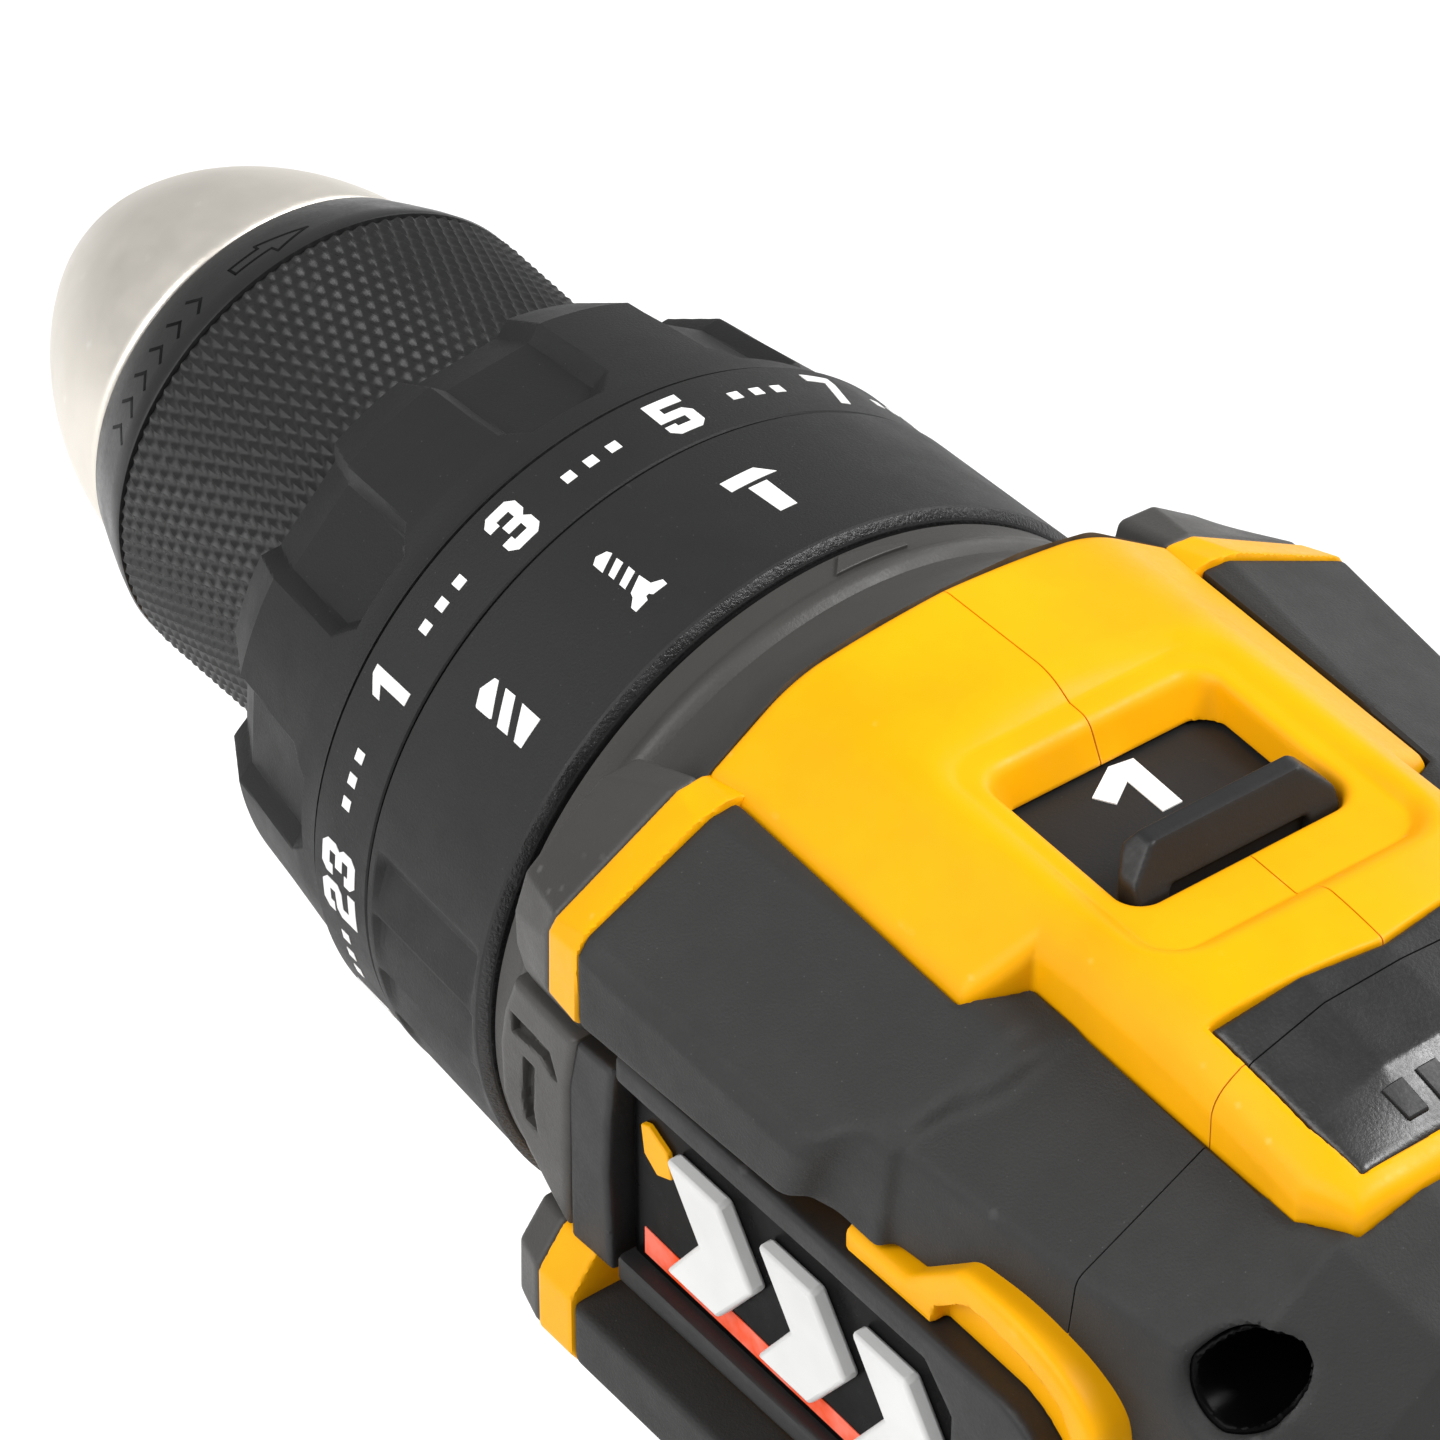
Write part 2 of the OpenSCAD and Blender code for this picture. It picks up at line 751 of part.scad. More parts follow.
module foot_solid(grow) {
    half_w = pack_w / 2 - 1.5 + grow;
    hull() {
        corner_posts([foot_x[0] - grow, foot_x[1] + grow], [-half_w, half_w],
                     foot_z[0] - grow * 2, 59, 7);
        corner_posts([foot_x[0] + 8 - grow, foot_x[1] - 12 + grow], [-half_w + 9, half_w - 9],
                     60, foot_z[1] + grow, 7);
    }
}

// Housing screws as [x, z, half length of the boss, place of the head's seat]
screws = [[-39.1, 204, 17, 12], [-39.1, 156.4, 15, 11], [22.5, 149.8, 15, 10],
          [-13, 133, 15, 9], [-15, 84, 15, 9], [33, 63, 26, 18], [-35, 63, 26, 18]];

// Screw bosses, ribs round the gear case and the stator, and the rear bearing's cup
module inner_bosses() {
    for (s = screws) cross_pin(s[0], s[1], -s[2], s[2], 3.6);
    disc(-109, -104.2, 9.5);
    intersection() {
        union() {
            axis_box([-57, -55], [-40, 40], [-40, 40]);
            axis_box([-90, -88], [-40, 40], [-40, 40]);
        }
        union() {
            section(shoulder_end, -31) mirrored(front_shell);
            section(-110, shoulder_end) mirrored(drawn_in(rear_shell, 0.4));
        }
    }
}

module shells() {
    difference() {
        union() {
            difference() {
                union() {
                    body_outside();
                    handle_solid(0, 66, 152);
                    foot_solid(0);
                }
                body_inside();
                handle_solid(-wall, 69, 153);
                intersection() {
                    foot_solid(-wall);
                    box([-60, 60], [-40, 40], [channel_z[1] + 1.6, 80]);
                }
            }
            inner_bosses();
        }
        // Seats of the gear case, the motor and its rear bearing
        along(-66) cylinder(r = case_r + 0.1, h = 44);
        along(-100) cylinder(r = stator_r + 0.1, h = 40);
        along(-108.3) cylinder(r = 6.55, h = 10);
        // Selector window and the slot that the plate slides in
        window_and_slot();
        // Trigger, direction lever and work light
        box([10, 60], [-10.6, 10.6], [111.4, 137]);
        box([9.6, 20.4], [-40, 40], [139.6, 146.4]);
        box([39, 60], [-6.2, 6.2], [60.4, 66.2]);
        // Channel for the pack's tower and its rails
        box([-37, 80], [-18.6, 18.6], [40, channel_z[1]]);
        box([-37, 80], [-22.6, 22.6], [51.6, channel_z[1]]);
        // Handle root and foot inside, kept open for the switch and the board
        box([-5, 24], [-11, 11], [108, 152]);
        box([-31, 29], [-22, 22], [60.5, 67.4]);
        box([-11, 6], [-6, 6], [67, 70]);
        motor_vents();
        for (s = screws) screw_bores(s);
    }
}

module window_and_slot() {
    corner = 1.2;
    axis_box([-66.4, -50.4], [-10 + corner, 10 - corner], [30, 42]);
    axis_box([-66.4 + corner, -50.4 - corner], [-10, 10], [30, 42]);
    for (cx = [-66.4 + corner, -50.4 - corner], cy = [-10 + corner, 10 - corner])
        translate([border_x + cx, cy, axis_h + 30]) cylinder(r = corner, h = 12);
    axis_box([-79, -32.4], [-12.3, 12.3], [24, 33.9]);
}

// Cooling slots on both flanks of the motor
module motor_vents() {
    both_sides() for (i = [0 : 4])
        axis_box([-101 + i * 3.4, -99.4 + i * 3.4], [18, 40], [-15, -3]);
}

module screw_bores(s) {
    cross_pin(s[0], s[1], -60, 60, screw_r + run);
    cross_pin(s[0], s[1], s[3], 60, screw_head_r + 0.15);
}

module housing_left() {
    color("gold") half(1) shells();
}

module housing_right() {
    color("gold") half(-1) shells();
}

module housing_screws() {
    color("silver") for (s = screws)
        difference() {
            union() {
                cross_pin(s[0], s[1], -9, s[3] + eps, screw_r);
                cross_pin(s[0], s[1], s[3], s[3] + 2.2, screw_head_r);
            }
            cross_pin(s[0], s[1], s[3] + 1, s[3] + 4, 1.2);
        }
}

// Outline of the rubber over the shoulders and the badge frame
front_rubber = [[22.2, 31.8], [25.6, 31], [35.6, 25.8], [36.5, 24.3], [36.5, 17.2], [34, 13],
                [34, -8.5], [36.4, -13.2], [36.4, -18.4], [31, -26], [21, -31.4], [18, -28],
                [18, 28]];

module badge_window() {
    axis_box([-75.6, -35.2], [20, 40], [-7.2, 10.5]);
}

module overmould() {
    difference() {
        union() {
            both_sides() section(shoulder_end, -31) polygon(front_rubber);
            both_sides() difference() {
                section(-31, -24.4) polygon([[22.6, 28.8], [26, 28.6], [29.7, 26], [33.6, 23],
                    [34.8, 19.4], [34.6, 13], [34.6, -12], [35.6, -17], [33, -20], [22, -27]]);
                axis_box([-32, -20], [20, 40], [-9, 12.4]);
            }
            hull() {
                slice(shoulder_end, [for (p = mid_shell) p * 1.04]);
                slice(rear_start, [for (p = rear_shell) p * 1.05]);
                slice(body_back + 0.4, [for (p = end_shell) p * 1.06]);
            }
            both_sides() axis_box([-84, -61], [25, 34], [-8.6, 13]);
            handle_solid(rubber, 76, 136);
        }
        body_outside_solid();
        along(-32) cylinder(r = front_ring_r + 0.1, h = 40);
        // The yellow top cover and its rear insert stay clear of rubber
        axis_box([-98, -20], [-21.8, 21.8], [31, 50]);
        axis_box([-125, -61], [-17, 17], [20, 50]);
        both_sides() badge_window();
        box([10, 60], [-40, 40], [137, 160]);
        box([16, 60], [-40, 40], [60, 137]);
        motor_vents();
        for (s = screws) {
            cross_pin(s[0], s[1], 0, 60, screw_head_r + 0.15);
            cross_pin(s[0], s[1], -s[2] - 0.1, s[2] + 0.1, 3.7);
        }
        cross_pin(screws[3][0], screws[3][1], -60, 60, screw_head_r + 0.15);
        box([9, 21], [-40, 40], [139, 147]);
        // The flanks of the foot and the underside stay open
        box([-60, 60], [-40, 40], [40, 72]);
    }
}

// The outside of the shells with nothing cut out of it
module body_outside_solid() {
    body_outside();
    handle_solid(0, 66, 152);
    foot_solid(0);
}

module overmould_left() { color([0.27, 0.27, 0.26]) half(1) overmould(); }

module overmould_right() { color([0.27, 0.27, 0.26]) half(-1) overmould(); }

// Dark cap let into the top at the rear
module rear_insert() {
    color([0.27, 0.27, 0.26]) difference() {
        hull() {
            slice(-79.2, [[0, 38.6], [14, 36.4], [14.2, 30], [0, 30]]);
            slice(-90, [[0, 38.3], [13, 35.6], [13.6, 27], [0, 27]]);
            slice(-98, [[0, 37.8], [12, 34], [12.6, 24], [0, 24]]);
        }
        body_outside_solid();
    }
}

module badge_plates() {
    color("black") both_sides() axis_box([-75.3, -35.5], [32.2, 33], [-6.9, 10.2]);
}

// ---- switch, electronics and light ----

module switch_module() {
    color("dimgray") union() {
        box([-4.4, 17], [-8.4, 8.4], [112, 134]);
        box([16.9, 22], [-3, 3], [120, 126]);
    }
}

trigger_z = [112.4, 136.4];

module trigger() {
    color("dimgray") difference() {
        union() {
            box([29, 33], [-10.2, 10.2], trigger_z);
            intersection() {
                cross_pin(69, 122, -10.2, 10.2, 40);
                box([28, 40], [-10.2, 10.2], trigger_z);
            }
            box([20, 29.5], [-10.2, -9.0], trigger_z);
            box([20, 29.5], [9.0, 10.2], trigger_z);
        }
        // Finger hollow
        cross_pin(49, 125, -20, 20, 15.4);
    }
}

module direction_lever() {
    color("dimgray") union() {
        box([10.4, 19.6], [-handle_w / 2 - 3.8, handle_w / 2 + 3.8], [140.2, 145.8]);
        both_sides() translate([15, handle_w / 2 + 2.6, 143]) rotate([-90, 0, 0])
            cylinder(r = 2.2, h = 1.9);
    }
}

module control_board() {
    color("darkgreen") union() {
        box([-28, 26], [-19, 19], [61.2, 64.4]);
        for (i = [0 : 2]) translate([-18 + i * 12, 10, 64.3]) cylinder(r = 2.6, h = 2.6);
    }
}

blade_y = [-12, -6, 0, 6, 12];

module terminal_block() {
    color("black") union() {
        box([-36.8, -30], [-16.5, 16.5], [48, 58.6]);
        for (y = blade_y) box([-30.1, -18], [y - 0.4, y + 0.4], [49.5, 56]);
    }
}

module led_lens() {
    color("white") union() {
        translate([41.4, 0, 63.3]) rotate([0, 90, 0]) cylinder(r = 2.5, h = 2.6);
        box([39.4, 41.5], [-5.6, 5.6], [60.8, 65.8]);
    }
}

// Leads from the board up past the switch to the motor
module motor_wires() {
    color("firebrick") for (y = [-3, 0, 3])
        translate([-7.4, y, 64.5]) cylinder(r = 0.9, h = 84, $fn = 24);
}

// ---- battery pack ----

pack_x = [-pack_len / 2, pack_len / 2];
cell_rows = [12.2, 30.6];
cell_pitch = 20;

seam_z = 24;

// The pack's outside, a tub with rounded corners and softened edges
module pack_solid() {
    half_w = pack_w / 2;
    hull() {
        corner_posts([pack_x[0] + 1.5, pack_x[1] - 1.5], [-half_w + 1.5, half_w - 1.5], 0, 1, 6);
        corner_posts(pack_x, [-half_w, half_w], 3, 43, 7);
        corner_posts([pack_x[0] + 2, pack_x[1] - 2], [-half_w + 2, half_w - 2], 45, 45.9, 6);
    }
}

// Room for the cells and the board
module pack_inside() {
    box([pack_x[0] + 4, pack_x[1] - 4], [-pack_w / 2 + 3.4, pack_w / 2 - 3.4], [2.6, 40]);
}

module battery_lower_case() {
    color([0.2, 0.2, 0.2]) difference() {
        pack_solid();
        pack_inside();
        box([-80, 80], [-50, 50], [seam_z, 60]);
    }
}

// Lid with the tower, the rails and the pocket of the release button
module battery_upper_case() {
    color([0.2, 0.2, 0.2]) difference() {
        union() {
            difference() {
                pack_solid();
                box([-80, 80], [-50, 50], [-10, seam_z]);
            }
            box([-21.5, 44], [-18, 18], [45, 58.6]);
            box([-21.5, 44], [-22, 22], [52.2, 58.6]);
            box([47.6, 50], [-20, 20], [45, 57]);
            both_sides() box([47.6, pack_x[1] - 1], [16.6, 20], [45, 57]);
        }
        pack_inside();
        for (y = blade_y) box([-22, -12], [y - 1, y + 1], [47, 57]);
        box([50, 60], [-16.6, 16.6], [41, 60]);
    }
}

// Push-down button at the front of the pack
module battery_button() {
    color("gold") union() {
        box([50.4, 54.6], [-16.2, 16.2], [45.4, 56.6]);
        for (z = [48.4, 50.6, 52.8]) box([54.5, 55.4], [-12, 12], [z, z + 1]);
    }
}

module battery_cells() {
    color("royalblue") for (i = [-2 : 2], z = cell_rows)
        cross_pin(i * cell_pitch, z, -cell_len / 2, cell_len / 2, cell_r);
}

housing_left();
housing_right();
overmould_left();
overmould_right();
rear_insert();
badge_plates();
housing_screws();
gear_case();
ring_gear_1();
clutch_ring_gear();
motor_plate();
stator();
windings();
bearings();
hammer_ratchet_fixed();
clutch_spring();
clutch_washer();
clutch_pins();
switch_module();
control_board();
terminal_block();
led_lens();
motor_wires();
speed_selector();
shift_fork();
shift_ring();
mode_ring();
torque_collar();
clutch_nut();
direction_lever();
trigger();
spindle();
output_carrier();
hammer_ratchet_turning();
chuck_body();
chuck_screw();
chuck_sleeve();
jaw_nut();
jaw_1();
jaw_2();
jaw_3();
rotor_core();
rotor_magnets();
motor_shaft();
fan();
carrier_1();
carrier_2();
planet_1a();
planet_1b();
planet_1c();
planet_2a();
planet_2b();
planet_2c();
planet_3a();
planet_3b();
planet_3c();
battery_lower_case();
battery_upper_case();
battery_button();
battery_cells();
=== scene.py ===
# Detailed visual model of a cordless combi drill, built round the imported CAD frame.
# Shapes are worked out in "axis coordinates": a runs along the drive axis towards the chuck,
# counted from the border between the two collars, y to the operator's left and z up, in mm.
import json
import math
from functools import reduce

import bmesh
import bpy
import numpy as np
from mathutils import Matrix, Vector


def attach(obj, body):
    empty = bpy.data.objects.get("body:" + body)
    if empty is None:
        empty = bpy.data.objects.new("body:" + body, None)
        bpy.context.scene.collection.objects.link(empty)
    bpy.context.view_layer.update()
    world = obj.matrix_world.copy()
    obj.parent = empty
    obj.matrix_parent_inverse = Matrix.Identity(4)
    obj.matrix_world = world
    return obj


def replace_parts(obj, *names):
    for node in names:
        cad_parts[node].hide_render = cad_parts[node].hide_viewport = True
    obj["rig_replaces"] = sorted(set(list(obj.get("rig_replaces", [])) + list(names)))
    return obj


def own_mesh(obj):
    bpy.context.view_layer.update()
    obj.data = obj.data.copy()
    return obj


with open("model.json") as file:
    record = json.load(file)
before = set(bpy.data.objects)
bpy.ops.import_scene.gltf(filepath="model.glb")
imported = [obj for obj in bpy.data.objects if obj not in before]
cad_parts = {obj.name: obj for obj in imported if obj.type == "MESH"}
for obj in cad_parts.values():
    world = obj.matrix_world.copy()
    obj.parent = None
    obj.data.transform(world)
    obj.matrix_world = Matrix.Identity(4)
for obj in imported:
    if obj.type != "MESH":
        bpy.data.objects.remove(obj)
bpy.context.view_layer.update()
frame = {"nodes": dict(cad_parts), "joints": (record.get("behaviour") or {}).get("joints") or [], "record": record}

MM = 0.001
SHARP = 42         # an edge that turns by more degrees than this is drawn sharp
DIAL_R = 30.8      # the radius on which lengths round the collars are counted
AXIS = Vector(next(j["pos_m"] for j in frame["joints"] if j["name"] == "chuck_spin"))
BX, AZ = AXIS.x / MM, AXIS.z / MM
ORIGIN = Vector((BX, 0, AZ))


# ---- distance fields ----

def smax(p, q, k):
    """The greater of two fields, blended over a width k"""
    h = np.maximum(k - np.abs(p - q), 0.0)
    return np.maximum(p, q) + h * h / (4 * k)


def smin(p, q, k):
    return -smax(-p, -q, k)


def cut(p, q, k=0.3):
    """A shape with another taken away"""
    return smax(p, -q, k)


def both(*shapes):
    """The space that shapes share"""
    return reduce(np.maximum, shapes)


def either(*shapes):
    return reduce(np.minimum, shapes)


def slab(u, lo, hi):
    return np.maximum(lo - u, u - hi)


def comb(u, pitch):
    """Distance to the nearest of evenly spaced lines"""
    return np.abs(u / pitch - np.round(u / pitch)) * pitch


def block(u, v, w, lo, hi, r):
    """A box with rounded edges"""
    d = [np.abs(c - (l + h) / 2) - (h - l) / 2 + r for c, l, h in zip((u, v, w), lo, hi)]
    out = np.sqrt(sum(np.maximum(x, 0) ** 2 for x in d))
    return out + np.minimum(np.maximum(np.maximum(d[0], d[1]), d[2]), 0) - r


def rect(u, v, lo, hi, r):
    """A rectangle with rounded corners, in two coordinates"""
    du = np.abs(u - (lo[0] + hi[0]) / 2) - (hi[0] - lo[0]) / 2 + r
    dv = np.abs(v - (lo[1] + hi[1]) / 2) - (hi[1] - lo[1]) / 2 + r
    outside = np.sqrt(np.maximum(du, 0) ** 2 + np.maximum(dv, 0) ** 2)
    return outside + np.minimum(np.maximum(du, dv), 0) - r


def inset(points, d):
    """A counter-clockwise outline moved inwards by d"""
    n, out = len(points), []
    for i in range(n):
        p0, p1, p2 = (np.array(points[j % n], float) for j in (i - 1, i, i + 1))
        e0, e1 = (p1 - p0) / np.linalg.norm(p1 - p0), (p2 - p1) / np.linalg.norm(p2 - p1)
        n0, n1 = np.array([-e0[1], e0[0]]), np.array([-e1[1], e1[0]])
        out.append(p1 + d * (n0 + n1) / max(1 + n0 @ n1, 0.3))
    return out


def poly(u, v, pts, r=0.0):
    """Distance to a closed counter-clockwise outline. Its corners may be numbers or arrays"""
    dist, sign = None, 1.0
    n = len(pts)
    for i in range(n):
        (x0, y0), (x1, y1) = pts[i], pts[i - 1]
        ex, ey = x1 - x0, y1 - y0
        wx, wy = u - x0, v - y0
        t = np.clip((wx * ex + wy * ey) / (ex * ex + ey * ey), 0, 1)
        d2 = (wx - ex * t) ** 2 + (wy - ey * t) ** 2
        dist = d2 if dist is None else np.minimum(dist, d2)
        over, under, left = v >= y0, v < y1, ex * wy > ey * wx
        flip = (over & under & left) | (~over & ~under & ~left)
        sign = np.where(flip, -sign, sign)
    return sign * np.sqrt(dist) - r


def loft(a, stations, outlines):
    """An outline's corners at each place along the axis"""
    order = np.argsort(stations)
    xs = np.array(stations, float)[order]
    rows = np.array([outlines[i] for i in order], float)
    return [(np.interp(a, xs, rows[:, i, 0]).astype(np.float32),
             np.interp(a, xs, rows[:, i, 1]).astype(np.float32)) for i in range(rows.shape[1])]


def curve(a, *knots):
    """A value that runs smoothly through (place, value) knots"""
    knots = sorted(knots)
    xs, vs = np.array([k[0] for k in knots], float), np.array([k[1] for k in knots], float)
    i = np.clip(np.searchsorted(xs, a) - 1, 0, len(xs) - 2)
    t = np.clip((a - xs[i]) / (xs[i + 1] - xs[i]), 0, 1)
    slope = np.gradient(vs, xs)
    h = xs[i + 1] - xs[i]
    out = ((1 + 2 * t) * (1 - t) ** 2 * vs[i] + t * (1 - t) ** 2 * h * slope[i]
           + t * t * (3 - 2 * t) * vs[i + 1] - t * t * (1 - t) * h * slope[i + 1])
    return out.astype(np.float32)


def net(field, lo, hi, step):
    """Vertices and quads of the field's zero surface"""
    ax = [np.arange(l - 1.5 * step, h + 2.5 * step, step).astype(np.float32) for l, h in zip(lo, hi)]
    shape = tuple(len(x) for x in ax)
    F = np.broadcast_to(field(ax[0][:, None, None], ax[1][None, :, None], ax[2][None, None, :]), shape)
    F = np.ascontiguousarray(F, dtype=np.float32)
    inside = F < 0
    for side in range(3):
        edge = [slice(None)] * 3
        for end in (0, -1):
            edge[side] = end
            inside[tuple(edge)] = False
    F = np.where(inside, F, np.maximum(F, 1e-5))
    corners = [(i, j, k) for i in (0, 1) for j in (0, 1) for k in (0, 1)]
    n = [s - 1 for s in shape]
    count = np.zeros(n, np.uint8)
    for i, j, k in corners:
        count += inside[i:n[0] + i, j:n[1] + j, k:n[2] + k]
    cells = np.argwhere((count > 0) & (count < 8))
    ids = np.full(n, -1, np.int64)
    ids[tuple(cells.T)] = np.arange(len(cells))
    val = {c: F[cells[:, 0] + c[0], cells[:, 1] + c[1], cells[:, 2] + c[2]] for c in corners}
    total, hits = np.zeros((len(cells), 3)), np.zeros(len(cells))
    for c in corners:
        for side in range(3):
            if c[side]:
                continue
            d = list(c)
            d[side] = 1
            va, vb = val[c], val[tuple(d)]
            crossed = (va < 0) != (vb < 0)
            t = np.where(crossed, va / np.where(crossed, va - vb, 1), 0)
            at = np.repeat(np.array([c], float), len(cells), 0)
            at[:, side] += t
            total += at * crossed[:, None]
            hits += crossed
    pos = cells + total / hits[:, None]
    verts = np.stack([ax[i][0] + pos[:, i] * step for i in range(3)], 1)
    quads = []
    for side in range(3):
        u, w = (side + 1) % 3, (side + 2) % 3
        lo_s, hi_s = [slice(None)] * 3, [slice(None)] * 3
        lo_s[side], hi_s[side] = slice(None, -1), slice(1, None)
        change = inside[tuple(lo_s)] != inside[tuple(hi_s)]
        at = np.argwhere(change)
        at = at[(at[:, u] > 0) & (at[:, w] > 0)]
        ring = []
        for du, dw in ((-1, -1), (0, -1), (0, 0), (-1, 0)):
            c = at.copy()
            c[:, u] += du
            c[:, w] += dw
            ring.append(ids[tuple(c.T)])
        ring = np.stack(ring, 1)
        out = inside[tuple(at.T)]
        ring[~out] = ring[~out][:, ::-1]
        quads.append(ring)
    quads = np.vstack(quads)
    return verts, quads[(quads >= 0).all(1)]


def polish(field, verts, step, rounds=4):
    """Moves the vertices onto the field's zero surface"""
    h = 0.02
    for _ in range(rounds):
        d = field(*verts.T)
        grad = np.stack([(field(*(verts + h * e).T) - field(*(verts - h * e).T)) / (2 * h)
                         for e in np.eye(3)], 1)
        size = np.maximum(np.linalg.norm(grad, axis=1), 0.2)
        move = np.clip(d / size, -0.45 * step, 0.45 * step) / size
        verts = verts - move[:, None] * grad
    return verts


# ---- meshes ----

def make(name, verts, faces, mat, body="housing", replaces=(), smooth=SHARP):
    """A mesh piece from its vertices in axis coordinates and its faces"""
    verts = (verts + np.array([BX, 0, AZ])) * MM
    me = bpy.data.meshes.new(name)
    me.vertices.add(len(verts))
    me.vertices.foreach_set("co", verts.astype(np.float32).ravel())
    k = faces.shape[1]
    me.loops.add(faces.size)
    me.loops.foreach_set("vertex_index", faces.astype(np.int32).ravel())
    me.polygons.add(len(faces))
    me.polygons.foreach_set("loop_start", np.arange(0, faces.size, k, dtype=np.int32))
    me.update(calc_edges=True)
    me.validate()
    return place(name, me, mat, body, replaces, smooth)


def place(name, me, mat, body="housing", replaces=(), smooth=SHARP):
    """Puts a mesh in the scene, on its body and in its material slot"""
    me.polygons.foreach_set("use_smooth", np.ones(len(me.polygons), bool))
    me.set_sharp_from_angle(angle=math.radians(smooth))
    ob = bpy.data.objects.new(name, me)
    bpy.context.scene.collection.objects.link(ob)
    me.materials.append(mat)
    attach(ob, body)
    if replaces:
        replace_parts(ob, *replaces)
    return ob


def mirror_copy(ob, name):
    """The same piece on the other side of the centre plane"""
    other = ob.copy()
    other.data = ob.data.copy()
    other.name = name
    other.data.transform(Matrix.Scale(-1, 4, (0, 1, 0)))
    other.data.flip_normals()
    bpy.context.scene.collection.objects.link(other)
    return other


def trimmed(bm, point, normal):
    """Keeps the part of a closed mesh on the normal's side of a plane, and closes it"""
    res = bmesh.ops.bisect_plane(bm, geom=bm.verts[:] + bm.edges[:] + bm.faces[:], dist=1e-7,
                                 plane_co=point, plane_no=normal, clear_inner=True)
    edges = [e for e in res["geom_cut"] if isinstance(e, bmesh.types.BMEdge)]
    if edges and bm.faces:
        filled = bmesh.ops.triangle_fill(bm, use_beauty=False, edges=edges, normal=-normal)
        for f in filled["geom"]:
            if isinstance(f, bmesh.types.BMFace) and f.normal.dot(normal) > 0:
                f.normal_flip()


def split(ob, planes, gap=0.13):
    """Cuts a closed mesh at planes (point, normal), in mm, with a fine gap between the pieces. A plane
    with None in third place keeps only the normal's side"""
    pieces = [ob]
    for point, normal, *one in planes:
        n, p = Vector(normal).normalized(), (Vector(point) + ORIGIN) * MM
        done = []
        for piece in pieces:
            halves = []
            for sign in ((1,) if one else (1, -1)):
                bm = bmesh.new()
                bm.from_mesh(piece.data)
                trimmed(bm, p + n * sign * gap / 2 * MM, n * sign)
                halves.append(bm)
            targets = [piece]
            if len(halves) == 2 and all(len(bm.faces) for bm in halves):
                other = piece.copy()
                other.data = piece.data.copy()
                other.name = piece.name + "_b"
                bpy.context.scene.collection.objects.link(other)
                targets.append(other)
            elif len(halves) == 2:
                for bm in halves:
                    bm.free()
                done.append(piece)
                continue
            for bm, target in zip(halves, targets):
                bm.to_mesh(target.data)
                bm.free()
                target.data.set_sharp_from_angle(angle=math.radians(SHARP))
            done += targets
        pieces = done
    return pieces


def solid(name, field, lo, hi, step, mat, body="housing", slot=None, replaces=(), mirrored=False,
          splits=(), smooth=SHARP):
    """A piece from its distance field, in two mirrored halves if asked, cut at planes"""
    verts, quads = net(field, lo, hi, step)
    verts = polish(field, verts, step)
    left = [r + "_left" for r in replaces] if mirrored else list(replaces)
    pieces = split(make(name + ("_left" if mirrored else ""), verts, quads, mat, body, left,
                        smooth), splits)
    if mirrored:
        for ob in list(pieces):
            other = mirror_copy(ob, ob.name.replace("_left", "_right"))
            if "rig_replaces" in other:
                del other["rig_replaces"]
                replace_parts(other, *[r + "_right" for r in replaces])
            pieces.append(other)
    return pieces


def pair(*args, **more):
    """A piece on the left and its mirror image on the right"""
    return solid(*args, mirrored=True, **more)


def ringed(name, rows, mat, body="housing", replaces=(), smooth=SHARP, angles=None):
    """A closed ring swept round the drive axis. rows holds (a, r) pairs, each a number or an array
    over the turn, that go once round the ring's section"""
    count = 720 if angles is None else len(angles)
    al = np.radians(np.arange(count) * 360 / count if angles is None else angles)
    verts = []
    for a, r in rows:
        a, r = np.broadcast_to(a, count), np.broadcast_to(r, count)
        verts.append(np.stack([a, r * np.cos(al), r * np.sin(al)], 1))
    m, n = len(rows), count
    i, j = np.meshgrid(np.arange(m), np.arange(n), indexing="ij")
    i2, j2 = (i + 1) % m, (j + 1) % n
    faces = np.stack([i * n + j, i2 * n + j, i2 * n + j2, i * n + j2], -1).reshape(-1, 4)
    return make(name, np.vstack(verts), faces, mat, body, replaces, smooth)


# ---- materials ----

def add(tree, kind, out, inputs, **settings):
    """A shader node. Each input is a value, or another node's output to be linked"""
    node = tree.nodes.new("ShaderNode" + kind)
    for key, value in settings.items():
        setattr(node, key, value)
    for key, value in inputs.items():
        if isinstance(value, bpy.types.NodeSocket):
            tree.links.new(value, node.inputs[key])
        else:
            node.inputs[key].default_value = value
    return node.outputs[out]


def ramp(tree, value, low, high, to_low, to_high):
    return add(tree, "MapRange", "Result", {"Value": value, "From Min": low, "From Max": high,
                                            "To Min": to_low, "To Max": to_high})


def noise(tree, vector, size, detail=3.0):
    return add(tree, "TexNoise", "Fac", {"Vector": vector, "Scale": 1 / size, "Detail": detail,
                                         "Roughness": 0.6})


def mixed(tree, factor, *colors):
    """Two colours, each a value or an output, mixed by a factor"""
    first, second = [c if isinstance(c, bpy.types.NodeSocket) else (*c, 1) for c in colors]
    return add(tree, "Mix", 2, {0: factor, 6: first, 7: second}, data_type="RGBA")


WIDE, MID, SPECK_SCALE = 0.018, 0.004, 900


